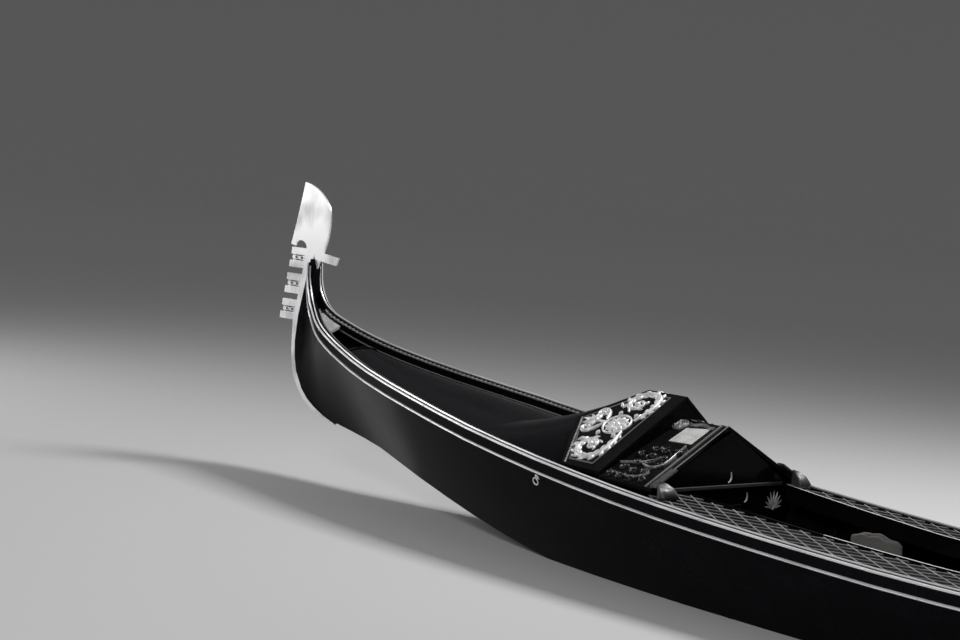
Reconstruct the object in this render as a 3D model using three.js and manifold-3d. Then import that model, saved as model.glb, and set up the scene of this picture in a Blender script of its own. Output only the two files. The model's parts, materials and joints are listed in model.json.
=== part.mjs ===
// A Venetian gondola: flat-bottomed hull with thin plank sides, bow iron with
// six teeth, gabled carved deck hood, passenger well and aft deck.
// Millimetres. +X points to the bow, +Y to port, +Z up.
// The origin is amidships on the line from stem to stern, at the waterline.
import * as THREE from 'three';
import * as BufferGeometryUtils from 'three/addons/utils/BufferGeometryUtils.js';
import Module from 'manifold-3d';

const wasm = await Module();
wasm.setup();

// Driving dimensions
const GAP = 0.6;                // clearance between pieces that touch
const BOW_X = 5092;             // where the planks end at the stem
const STERN_X = -5270;          // where the planks end at the stern post
const PLANK = 18;               // thickness of the side planks
const BOTTOM_PLANK = 24;        // thickness of the flat bottom
const POST_HALF = 27.5;         // half thickness of stem and stern posts
const BAND_HEIGHT = 81;         // height of the gunwale
const BAND_WIDTH = 50;          // width of the gunwale
const BAND_PROUD = 6;           // how far the gunwale stands out of the planks
const STRIP = 9;                // depth of the bright strips
const DECK_DROP = 74;           // deck edge below the gunwale's top
const DECK_THICK = 15;          // thickness of deck planking
const ROOF_SKEW = 0.14;         // the hood's cross pieces run square to the lopsided
                                // hull, so they swing forward to starboard
const ROOF_RISE = 945;          // height of the hood's ridge
const HATCH_RISE = 828;         // height of the rear roof's ridge
const ROOF_PLATE = 24;          // thickness of the carved plates
const BULKHEAD_X = 1182;        // forward end of the passenger well, at the ridge
const WELL_AFT_X = -1650;       // aft end of the passenger well
const FLOOR_Z = -30;            // top of the floorboards
const IRON_THICK = 12;          // thickness of the bow and stern irons

// Sections of the hull. Half breadths at the gunwale's top outer edge, then its height.
const SHEER = [
  // x, port, starboard, z
  [5092, 46, 46, 1372],
  [5078, 48, 48, 1250],
  [5030, 59, 55, 1152],
  [4990, 70, 60, 1107],
  [4900, 105, 80, 1052],
  [4800, 148, 110, 1012],
  [4650, 198, 142, 965],
  [4400, 266, 195, 905],
  [3900, 402, 298, 821],
  [3200, 556, 419, 736],
  [2400, 672, 511, 640],
  [1600, 731, 561, 560],
  [800, 761, 589, 501],
  [0, 766, 597, 463],
  [-800, 758, 592, 440],
  [-1600, 716, 560, 436],
  [-2400, 632, 496, 465],
  [-3200, 508, 400, 540],
  [-3900, 368, 290, 650],
  [-4400, 246, 194, 762],
  [-4800, 142, 114, 886],
  [-5050, 80, 68, 1002],
  [-5200, 52, 50, 1112],
  [-5270, 46, 46, 1200],
];

// Half breadths at the chine, then the height of the flat bottom.
const CHINE = [
  // x, port, starboard, z
  [5092, 46, 46, 585],
  [4900, 48, 48, 470],
  [4719, 50, 50, 400],
  [4400, 62, 56, 352],
  [4100, 95, 80, 312],
  [3600, 190, 150, 226],
  [2600, 330, 258, 62],
  [2100, 385, 300, 2],
  [1650, 420, 326, -50],
  [1200, 442, 343, -95],
  [800, 452, 351, -125],
  [0, 458, 356, -155],
  [-800, 450, 350, -150],
  [-1600, 425, 330, -125],
  [-2400, 360, 285, -70],
  [-3200, 265, 205, 25],
  [-3900, 165, 130, 160],
  [-4400, 95, 80, 300],
  [-4800, 55, 52, 450],
  [-5050, 48, 48, 580],
  [-5200, 46, 46, 700],
  [-5270, 46, 46, 820],
];

// Colours, roughness and metalness of what the pieces are made of
const FINISHES = {
  blackLacquer: [0x0a0a0c, 0.16, 0],
  blackWood: [0x141416, 0.45, 0],
  polishedSteel: [0xdcdde0, 0.22, 1],
  silverCarving: [0xc8c9cc, 0.35, 0.6],
  brightStrip: [0xe2e3e5, 0.25, 0.9],
  rope: [0x8a8a8c, 0.5, 0.4],
  redLeather: [0x5a1518, 0.5, 0],
  paleCloth: [0xb9b4aa, 0.85, 0],
  walnut: [0x6b4425, 0.4, 0],
  brass: [0xc9a24a, 0.25, 1],
  bottomPaint: [0x1c1d20, 0.6, 0],
};

const boat = new THREE.Group();

function addPiece(name, geometry, finish) {
  const [color, roughness, metalness] = FINISHES[finish];
  const material = new THREE.MeshStandardMaterial({ color, roughness, metalness });
  const mesh = new THREE.Mesh(geometry, material);
  mesh.name = name;
  boat.add(mesh);
  return mesh;
}

// A smooth curve through the rows of a table that never overshoots them
function smoothColumn(rows, column) {
  const x = rows.map((row) => row[0]);
  const y = rows.map((row) => row[column]);
  const slope = x.slice(1).map((value, i) => (y[i + 1] - y[i]) / (value - x[i]));
  const tangent = x.map((_, i) => {
    if (i === 0) return slope[0];
    if (i === x.length - 1) return slope[i - 1];
    if (slope[i - 1] * slope[i] <= 0) return 0;
    return (2 * slope[i - 1] * slope[i]) / (slope[i - 1] + slope[i]);
  });
  return (at) => {
    let i = x.findIndex((value) => at >= value) - 1;
    if (i === -2) i = x.length - 2;
    i = Math.max(i, 0);
    const span = x[i + 1] - x[i];
    const t = (at - x[i]) / span;
    const a = 2 * t ** 3 - 3 * t ** 2 + 1;
    const b = t ** 3 - 2 * t ** 2 + t;
    const c = 3 * t ** 2 - 2 * t ** 3;
    const d = t ** 3 - t ** 2;
    return a * y[i] + b * span * tangent[i] + c * y[i + 1] + d * span * tangent[i + 1];
  };
}

// Stations get closer together towards both ends, where the lines turn upward
function stationList() {
  const fromEnd = (end, direction, firstStep) => {
    const list = [end];
    let step = firstStep;
    while (Math.abs(list.at(-1) + direction * step) > 200) {
      list.push(list.at(-1) + direction * step);
      step = Math.min(step * 1.24, 330);
    }
    return list;
  };
  const bow = fromEnd(BOW_X, -1, 10);
  const stern = fromEnd(STERN_X, 1, 45);
  return [...bow, 0, ...stern.reverse()];
}

const STATIONS = stationList();

// The same values with straight lines between stations, so long pieces nest exactly
function betweenStations(curve) {
  const values = STATIONS.map(curve);
  return (x) => {
    const i = Math.min(Math.max(STATIONS.findIndex((s) => s <= x) - 1, 0), STATIONS.length - 2);
    const t = (STATIONS[i] - x) / (STATIONS[i] - STATIONS[i + 1]);
    return values[i] + (values[i + 1] - values[i]) * t;
  };
}

const sheerHeight = betweenStations(smoothColumn(SHEER, 3));
const chineHeight = betweenStations(smoothColumn(CHINE, 3));
const sheerBreadth = {
  port: betweenStations(smoothColumn(SHEER, 1)),
  starboard: betweenStations(smoothColumn(SHEER, 2)),
};
const chineBreadth = {
  port: betweenStations(smoothColumn(CHINE, 1)),
  starboard: betweenStations(smoothColumn(CHINE, 2)),
};
const SIDES = { port: 1, starboard: -1 };

// The stations between two ends, with the ends themselves
function stationsFrom(front, back) {
  return [front, ...STATIONS.filter((x) => x < front - 1 && x > back + 1), back];
}

// Breadth of a side's outer face at a height, with a slight outward curve
function sideBreadth(side, x, z) {
  const low = chineHeight(x);
  const high = sheerHeight(x) - BAND_HEIGHT;
  const t = (z - low) / (high - low);
  const bow = 0.1 * t * (1 - t);
  const spread = sheerBreadth[side](x) - chineBreadth[side](x);
  return chineBreadth[side](x) + spread * (t + bow);
}

// Inner edge of the gunwale, never closer than the posts
function bandInner(side, x) {
  return Math.max(sheerBreadth[side](x) - BAND_WIDTH + BAND_PROUD, POST_HALF + 1);
}

// Closed body from a row of equal rings; each ring is a list of [x, y, z]
function loft(rings) {
  const count = rings[0].length;
  const positions = rings.flat(2);
  const index = [];
  for (let i = 0; i < rings.length - 1; i++) {
    for (let j = 0; j < count; j++) {
      const next = (j + 1) % count;
      const a = i * count + j;
      const b = i * count + next;
      index.push(a, b, a + count, b, b + count, a + count);
    }
  }
  const cap = (ring, offset, alongRing) => {
    const outline = ring.map(([, y, z]) => new THREE.Vector2(y, z));
    const ringTurn = Math.sign(THREE.ShapeUtils.area(outline));
    for (const [a, b, c] of THREE.ShapeUtils.triangulateShape(outline, [])) {
      const turn = Math.sign(THREE.ShapeUtils.area([outline[a], outline[b], outline[c]]));
      const keep = (turn === ringTurn) === alongRing;
      index.push(a + offset, (keep ? b : c) + offset, (keep ? c : b) + offset);
    }
  };
  cap(rings[0], 0, false);
  cap(rings.at(-1), (rings.length - 1) * count, true);
  const geometry = new THREE.BufferGeometry();
  geometry.setAttribute('position', new THREE.Float32BufferAttribute(positions, 3));
  geometry.setIndex(index);
  return facingOut(geometry);
}

// Turns a closed geometry's faces outward when its volume comes out negative
function facingOut(geometry) {
  const position = geometry.attributes.position;
  const index = geometry.index.array;
  const corner = [new THREE.Vector3(), new THREE.Vector3(), new THREE.Vector3()];
  let volume = 0;
  for (let i = 0; i < index.length; i += 3) {
    corner.forEach((point, k) => point.fromBufferAttribute(position, index[i + k]));
    volume += corner[0].dot(corner[1].cross(corner[2]));
  }
  if (volume < 0) {
    for (let i = 0; i < index.length; i += 3) {
      [index[i + 1], index[i + 2]] = [index[i + 2], index[i + 1]];
    }
  }
  return geometry;
}

// Long piece whose section at each station is a list of [y, z]
function sectionLoft(stations, section) {
  return loft(stations.map((x) => section(x).map(([y, z]) => [x, y, z])));
}

// Flat piece drawn in the X-Z plane, centred on y and thick along Y
function uprightPlate(points, thickness, y = 0, holes = []) {
  const shape = new THREE.Shape(points.map(([x, z]) => new THREE.Vector2(x, z)));
  holes.forEach((hole) => shape.holes.push(hole));
  const options = { depth: thickness, bevelEnabled: false, curveSegments: 8 };
  const geometry = new THREE.ExtrudeGeometry(shape, options);
  geometry.rotateX(Math.PI / 2);
  geometry.translate(0, y + thickness / 2, 0);
  return geometry;
}

// Flat piece drawn in plan and lifted so that its underside follows a height over (x, y)
function liftedPlate(points, thickness, height) {
  const shape = new THREE.Shape(points.map(([x, y]) => new THREE.Vector2(x, y)));
  const geometry = new THREE.ExtrudeGeometry(shape, { depth: thickness, bevelEnabled: false });
  const position = geometry.attributes.position;
  for (let i = 0; i < position.count; i++) {
    const lift = height(position.getX(i), position.getY(i));
    position.setZ(i, position.getZ(i) + lift);
  }
  return geometry;
}

// Moves points along X so that cross pieces swing forward to starboard
function skewed(geometry) {
  const position = geometry.attributes.position;
  for (let i = 0; i < position.count; i++) {
    position.setX(i, position.getX(i) - ROOF_SKEW * position.getY(i));
  }
  return geometry;
}

function box(x0, x1, y0, y1, z0, z1) {
  const geometry = new THREE.BoxGeometry(x1 - x0, y1 - y0, z1 - z0);
  geometry.translate((x0 + x1) / 2, (y0 + y1) / 2, (z0 + z1) / 2);
  return geometry;
}

function toSolid(geometry) {
  const bare = geometry.clone();
  bare.deleteAttribute('normal');
  bare.deleteAttribute('uv');
  const merged = BufferGeometryUtils.mergeVertices(bare, 1e-3);
  const vertProperties = new Float32Array(merged.attributes.position.array);
  const triVerts = new Uint32Array(merged.index.array);
  return new wasm.Manifold(new wasm.Mesh({ numProp: 3, vertProperties, triVerts }));
}

function fromSolid(solid) {
  const mesh = solid.getMesh();
  const geometry = new THREE.BufferGeometry();
  const positions = new Float32Array(mesh.vertProperties);
  geometry.setAttribute('position', new THREE.BufferAttribute(positions, 3));
  geometry.setIndex(new THREE.BufferAttribute(new Uint32Array(mesh.triVerts), 1));
  return geometry;
}

const cut = (body, tool) => fromSolid(toSolid(body).subtract(toSolid(tool)));
const join = (bodies) => fromSolid(bodies.map(toSolid).reduce((a, b) => a.add(b)));

// Hull. Its planks meet end to end at the two ends of the well.

const LENGTHS = {
  // front, back
  fore: [BOW_X, 1040],
  mid: [1040 - GAP, -1690],
  aft: [-1690 - GAP, STERN_X],
};

function hullSide(side, front, back) {
  const sign = SIDES[side];
  const levels = [0, 0.3, 0.65, 1];
  return sectionLoft(stationsFrom(front, back), (x) => {
    const low = chineHeight(x);
    const high = sheerHeight(x) - BAND_HEIGHT - GAP;
    const outer = levels.map((t) => {
      const z = low + (high - low) * t;
      return [sign * sideBreadth(side, x, z), z];
    });
    const inner = outer.map(([y, z]) => [y - sign * PLANK, z]).reverse();
    return [...outer, ...inner];
  });
}

const BOTTOM_FRONT = 4690;
const BOTTOM_BACK = -4940;

function hullBottom(front, back) {
  const inset = PLANK + GAP;
  const ends = [Math.min(front, BOTTOM_FRONT), Math.max(back, BOTTOM_BACK)];
  return sectionLoft(stationsFrom(...ends), (x) => {
    const z = chineHeight(x);
    const port = chineBreadth.port(x) - inset;
    const starboard = -chineBreadth.starboard(x) + inset;
    const top = z + BOTTOM_PLANK;
    return [[port, z], [port, top], [starboard, top], [starboard, z]];
  });
}

// The bow iron's edge that lies along the stem, from the slot at its head to its tail
const IRON_INNER = [
  [5103, 1425], [5127, 1330], [5170, 1160], [5206, 1015], [5222, 850],
  [5210, 745], [5180, 655], [5102, 548], [5030, 492], [4947, 450], [4830, 405],
];

function stemPost() {
  const set = 1;
  const front = IRON_INNER.slice(1).map(([x, z]) => [x - set, z + set]);
  const head = [[5064, 1326], [5095, 1392], [5107, 1392]];
  const heel = [[4700, 372], [4700, 470], [4880, 545], [5000, 680], [5050, 860], [5060, 1100]];
  return uprightPlate([...head, ...front, ...heel], 2 * POST_HALF);
}

const STERN_OUTER = [
  [-5290, 1236], [-5322, 1080], [-5330, 960], [-5315, 830], [-5270, 700],
  [-5195, 590], [-5080, 500], [-4960, 452],
];

function sternPost() {
  const inner = [[-4950, 540], [-5060, 590], [-5150, 690], [-5200, 820], [-5240, 1000],
    [-5250, 1236]];
  return uprightPlate([...STERN_OUTER, ...inner], 2 * POST_HALF);
}

for (const [part, [front, back]] of Object.entries(LENGTHS)) {
  addPiece(`hull_bottom_${part}`, hullBottom(front, back), 'bottomPaint');
  for (const side of Object.keys(SIDES)) {
    addPiece(`hull_side_${side}_${part}`, hullSide(side, front, back), 'blackLacquer');
  }
}
addPiece('stem_post', stemPost(), 'blackLacquer');
addPiece('stern_post', sternPost(), 'blackLacquer');

function gunwale(side) {
  const sign = SIDES[side];
  return sectionLoft(stationsFrom(BOW_X, STERN_X), (x) => {
    const outer = sheerBreadth[side](x) + BAND_PROUD;
    const inner = bandInner(side, x);
    const top = sheerHeight(x);
    const low = top - BAND_HEIGHT;
    return [[outer, low], [outer, top], [inner, top], [inner, low]].map(([y, z]) => [sign * y, z]);
  });
}

// A bar that runs along the gunwale; the section is given from its outer top edge
function gunwaleBar(side, front, back, section) {
  const sign = SIDES[side];
  return sectionLoft(stationsFrom(front, back), (x) => {
    const outer = sheerBreadth[side](x) + BAND_PROUD;
    return section(outer, sheerHeight(x), x).map(([y, z]) => [sign * y, z]);
  });
}

// Half-round strip on the outer face
const faceStrip = (drop, height) => (outer, top) => {
  const y = outer + GAP;
  const z = top - drop;
  const crown = STRIP * 0.9;
  return [[y, z - height], [y + crown, z - height * 0.75], [y + STRIP, z - height * 0.5],
    [y + crown, z - height * 0.25], [y, z]];
};

// Low strip on the gunwale's top face
const topStrip = (inset, width) => (outer, top) => {
  const y = Math.max(outer - inset, POST_HALF + 6);
  const z = top + GAP;
  return [[y - width, z], [y - width * 0.75, z + 6], [y - width * 0.25, z + 6], [y, z]];
};

// Rope mouldings on the gunwale's inner face: a thick one at its top and a thin one by the deck
const ROPES = {
  upper: { drop: 11, half: 10, depth: 15 },
  lower: { drop: 62, half: 6.5, depth: 11 },
};

const innerMoulding = (side, { drop, half, depth }) => (outer, top, x) => {
  const y = bandInner(side, x) - GAP;
  const z = top - drop;
  const bulge = y - depth * 0.72;
  const slope = half * 0.85;
  return [[y, z + half], [bulge, z + slope], [y - depth, z], [bulge, z - slope], [y, z - half]];
};

const MOULDING_END = { port: 1765, starboard: 1925 };

for (const side of Object.keys(SIDES)) {
  addPiece(`gunwale_${side}`, gunwale(side), 'blackLacquer');
  addPiece(`rub_strip_${side}`, gunwaleBar(side, BOW_X, STERN_X, faceStrip(66, 14)), 'brightStrip');
  addPiece(`edge_strip_${side}`, gunwaleBar(side, BOW_X, STERN_X, faceStrip(2, 14)), 'brightStrip');
  addPiece(`top_strip_${side}`, gunwaleBar(side, 5060, -5240, topStrip(14, 10)), 'brightStrip');
  const upper = gunwaleBar(side, 4960, MOULDING_END[side], innerMoulding(side, ROPES.upper));
  const lower = gunwaleBar(side, 4960, MOULDING_END[side], innerMoulding(side, ROPES.lower));
  addPiece(`rope_moulding_upper_${side}`, upper, 'rope');
  addPiece(`rope_moulding_lower_${side}`, lower, 'rope');
}

// Bow iron

const TEETH = { count: 6, pitch: 85.6, height: 45, topZ: 1454, frontX: 5366, frontStep: 16.6,
  rootX: 5194, rootStep: 17.6 };

function toothCorners(i) {
  const top = TEETH.topZ - TEETH.pitch * i;
  const front = TEETH.frontX + TEETH.frontStep * i;
  const root = TEETH.rootX + TEETH.rootStep * i;
  const low = top - TEETH.height;
  return [[root, top], [front, top], [front + 3, low], [root + 8, low]];
}

function bowIron() {
  const shape = new THREE.Shape();
  const [startX, startZ] = toothCorners(0)[0];
  shape.moveTo(startX, startZ);
  // Round notch under the blade, then the blade's front edge, tip and full back
  shape.quadraticCurveTo(5200, 1498, 5268, 1504);
  shape.quadraticCurveTo(5322, 1502, 5332, 1464);
  shape.lineTo(5381, 1473);
  shape.quadraticCurveTo(5322, 1650, 5265, 1883);
  shape.bezierCurveTo(5150, 1868, 5040, 1818, 4969, 1739);
  shape.bezierCurveTo(4925, 1660, 4945, 1540, 5000, 1436);
  // Tooth that points aft, and the prong beside the slot for the stem's head
  shape.lineTo(4826, 1418);
  shape.lineTo(4847, 1367);
  shape.lineTo(5036, 1384);
  shape.lineTo(5060, 1333);
  for (const [x, z] of IRON_INNER) shape.lineTo(x, z);
  // Tail, tapering to a point under the stem
  shape.lineTo(4719, 364);
  shape.bezierCurveTo(4880, 385, 5020, 425, 5100, 480);
  shape.bezierCurveTo(5190, 550, 5235, 600, 5262, 672);
  shape.bezierCurveTo(5290, 760, 5290, 840, toothCorners(5)[3][0] + 4, toothCorners(5)[3][1]);
  for (let i = TEETH.count - 1; i >= 1; i--) {
    const [rootTop, frontTop, frontLow, rootLow] = toothCorners(i);
    for (const [x, z] of [rootLow, frontLow, frontTop, rootTop]) shape.lineTo(x, z);
  }
  const [, frontTop, frontLow, rootLow] = toothCorners(0);
  for (const [x, z] of [rootLow, frontLow, frontTop]) shape.lineTo(x, z);
  const options = { depth: IRON_THICK, bevelEnabled: false, curveSegments: 10 };
  const geometry = new THREE.ExtrudeGeometry(shape, options);
  geometry.rotateX(Math.PI / 2);
  geometry.translate(0, IRON_THICK / 2, 0);
  return geometry;
}

// Pierced leaf that fills a gap between two teeth and is fixed to all of its edges but one
const LEAF = { thickness: 5, bite: 4, setBack: 22, nose: 14, holeHalfWidth: 22, holeHalfHeight: 10 };

function bowLeaf(above) {
  const upper = toothCorners(above);
  const lower = toothCorners(above + 1);
  const top = upper[3][1] + LEAF.bite;
  const bottom = lower[0][1] - LEAF.bite;
  const back = lower[0][0] - LEAF.bite;
  const front = lower[1][0] - LEAF.setBack;
  const middle = (top + bottom) / 2;
  const holes = [0.28, 0.68].map((t) => {
    const hole = new THREE.Path();
    const x = back + (front - back) * t;
    hole.absellipse(x, middle, LEAF.holeHalfWidth, LEAF.holeHalfHeight, 0, 2 * Math.PI);
    return hole;
  });
  const outline = [[back, bottom], [front - LEAF.nose, bottom], [front, middle],
    [front - LEAF.nose, top], [back, top]];
  return uprightPlate(outline, LEAF.thickness, 0, holes);
}

const leafGaps = [0, 2, 4];
addPiece('bow_iron', join([bowIron(), ...leafGaps.map(bowLeaf)]), 'polishedSteel');

function sternIron() {
  const outer = STERN_OUTER.map(([x, z]) => [x - 16, z - 4]);
  const inner = STERN_OUTER.map(([x, z]) => [x - 1, z]).reverse();
  const curl = [[-5262, 1330], [-5296, 1352], [-5330, 1330], [-5322, 1285]];
  return uprightPlate([...curl, ...outer, ...inner, [-5262, 1240]], IRON_THICK);
}

addPiece('stern_iron', sternIron(), 'polishedSteel');

// Fore and aft decks

function deckEdge(side, x, clearance = 1) {
  return bandInner(side, x) - clearance - 11 - GAP;
}

// Places across a deck, from its port edge at 1 to its starboard edge at -1
const mirrored = (half) => [...half, 0, ...half.map((t) => -t).reverse()];
const ACROSS = mirrored([1, 0.72, 0.38]);
const ACROSS_FINE = mirrored([1, 0.87, 0.72, 0.55, 0.38, 0.19]);

// Cambered deck: highest over the centre line
function deckSection(crown, thickness, across) {
  return (x) => {
    const edge = sheerHeight(x) - DECK_DROP;
    const top = across.map((t) => {
      const side = t >= 0 ? 'port' : 'starboard';
      const y = Math.sign(t) * Math.abs(t) * deckEdge(side, x);
      return [y, edge + crown(x) * (1 - t * t)];
    });
    const under = top.map(([y, z]) => [y, z - thickness]).reverse();
    return [...top, ...under];
  };
}

const HOOD_FRONT = 2620;
const DECK_FRONT = 4440;
const foreCrown = (x) => THREE.MathUtils.mapLinear(x, DECK_FRONT, HOOD_FRONT, 45, 92);
const foredeck = sectionLoft(stationsFrom(DECK_FRONT, HOOD_FRONT + GAP),
  deckSection(foreCrown, DECK_THICK, ACROSS_FINE));
addPiece('foredeck', foredeck, 'blackLacquer');

// Block that ties the gunwales together at the bow. Its aft edge runs from starboard, ahead, to
// port, behind.
const BREASTHOOK = { front: 4966, back: 4776, drop: 29, thickness: 20, edgeClearance: 13, skew: 0.72 };

function breasthook() {
  const { front, back, drop, thickness, edgeClearance, skew } = BREASTHOOK;
  const edgePoint = (side, at, lean) => {
    const reach = bandInner(side, at) - edgeClearance;
    const x = at - SIDES[side] * reach * lean;
    return [x, SIDES[side] * (bandInner(side, x) - edgeClearance), sheerHeight(x) - drop];
  };
  return loft(stationsFrom(front, back).map((at) => {
    const lean = skew * ((front - at) / (front - back));
    const top = [edgePoint('port', at, lean), edgePoint('starboard', at, lean)];
    const under = top.map(([x, y, z]) => [x, y, z - thickness]).reverse();
    return [...top, ...under];
  }));
}

addPiece('breasthook', breasthook(), 'blackWood');

function deckBeam() {
  const x = DECK_FRONT + 26;
  const z = sheerHeight(x) - DECK_DROP;
  const port = deckEdge('port', x) - 2;
  const starboard = -deckEdge('starboard', x) + 2;
  const arch = [port, port * 0.5, 0, starboard * 0.5, starboard];
  const rise = [0, 32, 44, 32, 0];
  const top = arch.map((y, i) => [y, z + rise[i] + 6]);
  const under = arch.map((y, i) => [y, z + rise[i] - 34]).reverse();
  const ring = [...top, ...under];
  return loft([x, x - 24].map((at) => ring.map(([y, v]) => [at, y, v])));
}

addPiece('deck_front_beam', deckBeam(), 'blackLacquer');

// Height of a gabled roof's surface over the boat, from ridge to gunwale
function gableHeight(ridge, edge, port, starboard) {
  return (x, y) => {
    const reach = y >= 0 ? port : starboard;
    return ridge - (ridge - edge) * Math.min(Math.abs(y) / reach, 1);
  };
}

const ROOF_EDGE = 575;          // height of the carved roof at the gunwale
const HATCH_EDGE = 548;         // height of the rear roof at the gunwale
const ROOF_REACH = { port: 652, starboard: 500 };
const carvedHeight = gableHeight(ROOF_RISE, ROOF_EDGE, ROOF_REACH.port, ROOF_REACH.starboard);
const HATCH_REACH = { port: 668, starboard: 520 };
const hatchHeight = gableHeight(HATCH_RISE, HATCH_EDGE, HATCH_REACH.port, HATCH_REACH.starboard);

const CARVED = { front: 1826, back: 1525, point: 2085, pointAt: 0.47 };
const FRAME_LINE = { inset: 34, backInset: 92, width: 9, rise: 5 };

// Pentagon with its point towards the bow; each edge moves in by its own inset
function carvedOutline(side, inset, backInset) {
  const sign = SIDES[side];
  const reach = ROOF_REACH[side];
  const near = sign * (1 + inset);
  const far = sign * (reach - inset);
  return [
    [CARVED.front - inset * 0.7, near], [CARVED.point - inset * 1.35, sign * reach * CARVED.pointAt],
    [CARVED.front - inset * 0.7, far], [CARVED.back + backInset, far], [CARVED.back + backInset, near],
  ];
}

// Plate on one slope of the hood, with a raised line that frames its carving
function carvedPlate(side) {
  const { inset, backInset, width, rise } = FRAME_LINE;
  const under = (x, y) => carvedHeight(x, y) - ROOF_PLATE;
  const plate = liftedPlate(carvedOutline(side, 0, 0), ROOF_PLATE, under);
  const low = (x, y) => carvedHeight(x, y) - 2;
  const outer = liftedPlate(carvedOutline(side, inset, backInset), rise + 2, low);
  const middle = liftedPlate(carvedOutline(side, inset + width, backInset + width), rise + 4,
    (x, y) => low(x, y) - 1);
  return skewed(join([plate, cut(outer, middle)]));
}

// Hood under the carved plates: rises from the deck's camber to a gable
function hood() {
  const back = CARVED.back + 20;
  const ridgeFront = sheerHeight(HOOD_FRONT) - DECK_DROP + foreCrown(HOOD_FRONT);
  const ridgeBack = ROOF_RISE - ROOF_PLATE - 14;
  const gableFrom = CARVED.front;
  const stations = [HOOD_FRONT, 2529, 2440, 2350, 2260, 2199, 2110, 2020, 1930, gableFrom, 1680, back];
  return loft(stations.map((x) => {
    const reach = THREE.MathUtils.clamp((HOOD_FRONT - x) / (HOOD_FRONT - gableFrom), 0, 1);
    const t = THREE.MathUtils.lerp(reach, reach * reach * (3 - 2 * reach), 0.35);
    const ridge = THREE.MathUtils.lerp(ridgeFront, ridgeBack, t);
    const edge = sheerHeight(x) - DECK_DROP;
    const top = ACROSS_FINE.map((s) => {
      const side = s >= 0 ? 'port' : 'starboard';
      const camber = 1 - s * s;
      const gable = 1 - Math.abs(s);
      const y = s * (deckEdge(side, x) - 4);
      const rise = (ridge - edge) * THREE.MathUtils.lerp(camber, gable, 0.94 * t);
      return [x - ROOF_SKEW * y * t, y, edge + rise];
    });
    const under = top.map(([px, y, z]) => [px, y, z - DECK_THICK]).reverse();
    return [...top, ...under];
  }));
}

addPiece('deck_hood', hood(), 'blackLacquer');
addPiece('carved_roof_port', carvedPlate('port'), 'silverCarving');
addPiece('carved_roof_starboard', carvedPlate('starboard'), 'silverCarving');

// Gable-shaped board across the boat, thick along X, between an upper and a lower gable
function gableBoard(back, thickness, topHeight, lowHeight, port, starboard) {
  const across = [port, 0, -starboard];
  const ring = [
    ...across.map((y) => [y, topHeight(0, y)]),
    ...across.map((y) => [y, lowHeight(0, y)]).reverse(),
  ];
  return skewed(loft([back + thickness, back].map((x) => ring.map(([y, z]) => [x, y, z]))));
}

// Riser that closes the step between the two roofs
const riserBack = CARVED.back + 2;
const riser = gableBoard(riserBack, 16, (x, y) => carvedHeight(x, y) - ROOF_PLATE - 2,
  (x, y) => hatchHeight(x, y) - 18, 640, 490);
addPiece('hood_riser', riser, 'blackLacquer');

// Rear roof over the locker, gabled like the carved one but lower
const HATCH = { front: riserBack - 2, back: 1200, cornerBack: 1120, thickness: 20, kinkAt: 0.74 };
const HATCH_SPAN = { port: 664, starboard: 516 };
const HATCH_RIM = { width: 11, rise: 7, places: [0, 46] };

// Line along the aft edge, from the ridge over a kink to the lower corner
function hatchAftLine(side, forward) {
  const sign = SIDES[side];
  const span = HATCH_SPAN[side];
  return [
    [HATCH.back + forward, sign * 1],
    [HATCH.cornerBack + 20 + forward, sign * span * HATCH.kinkAt],
    [HATCH.cornerBack + forward, sign * span],
  ];
}

// Plate of the rear roof, with two raised lines along its aft edge
function hatchPlate(side) {
  const sign = SIDES[side];
  const frontLine = [[HATCH.front, sign * 1], [HATCH.front, sign * HATCH_SPAN[side]]];
  const outline = [...frontLine, ...hatchAftLine(side, 0).reverse()];
  const plate = liftedPlate(outline, HATCH.thickness, (x, y) => hatchHeight(x, y) - HATCH.thickness);
  const rims = HATCH_RIM.places.map((place) => {
    const rim = [...hatchAftLine(side, place), ...hatchAftLine(side, place + HATCH_RIM.width).reverse()];
    return liftedPlate(rim, HATCH_RIM.rise + 2, (x, y) => hatchHeight(x, y) - 2);
  });
  return skewed(join([plate, ...rims]));
}

addPiece('hatch_roof_port', hatchPlate('port'), 'blackLacquer');
addPiece('hatch_roof_starboard', hatchPlate('starboard'), 'blackLacquer');

// Blank plate on the rear roof's port slope
function blankPlate() {
  const outline = [[1420, 90], [1272, 60], [1232, 225], [1392, 235]];
  return liftedPlate(outline, 4, (x, y) => hatchHeight(x, y) + GAP);
}

addPiece('blank_plate', blankPlate(), 'brightStrip');

// Bulkhead at the forward end of the well, with a doorway into the locker
const DOORWAY = { port: 190, starboard: -150, low: 40, high: 470 };
const DOOR_CLEARANCE = 5;
const BULKHEAD_THICK = 20;

function insideBreadth(side, x, z) {
  return sideBreadth(side, x, z) - PLANK;
}

function bulkheadOutline(x, clearance) {
  const low = chineHeight(x) + BOTTOM_PLANK + 6;
  const shoulder = sheerHeight(x) - BAND_HEIGHT - 12;
  const breadth = (side, z) => {
    const own = x - ROOF_SKEW * SIDES[side] * chineBreadth[side](x);
    return insideBreadth(side, own, z) - clearance;
  };
  const port = [[breadth('port', low), low], [breadth('port', shoulder), shoulder]];
  const starboard = [[-breadth('starboard', shoulder), shoulder], [-breadth('starboard', low), low]];
  return { low, shoulder, port, starboard };
}

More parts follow.
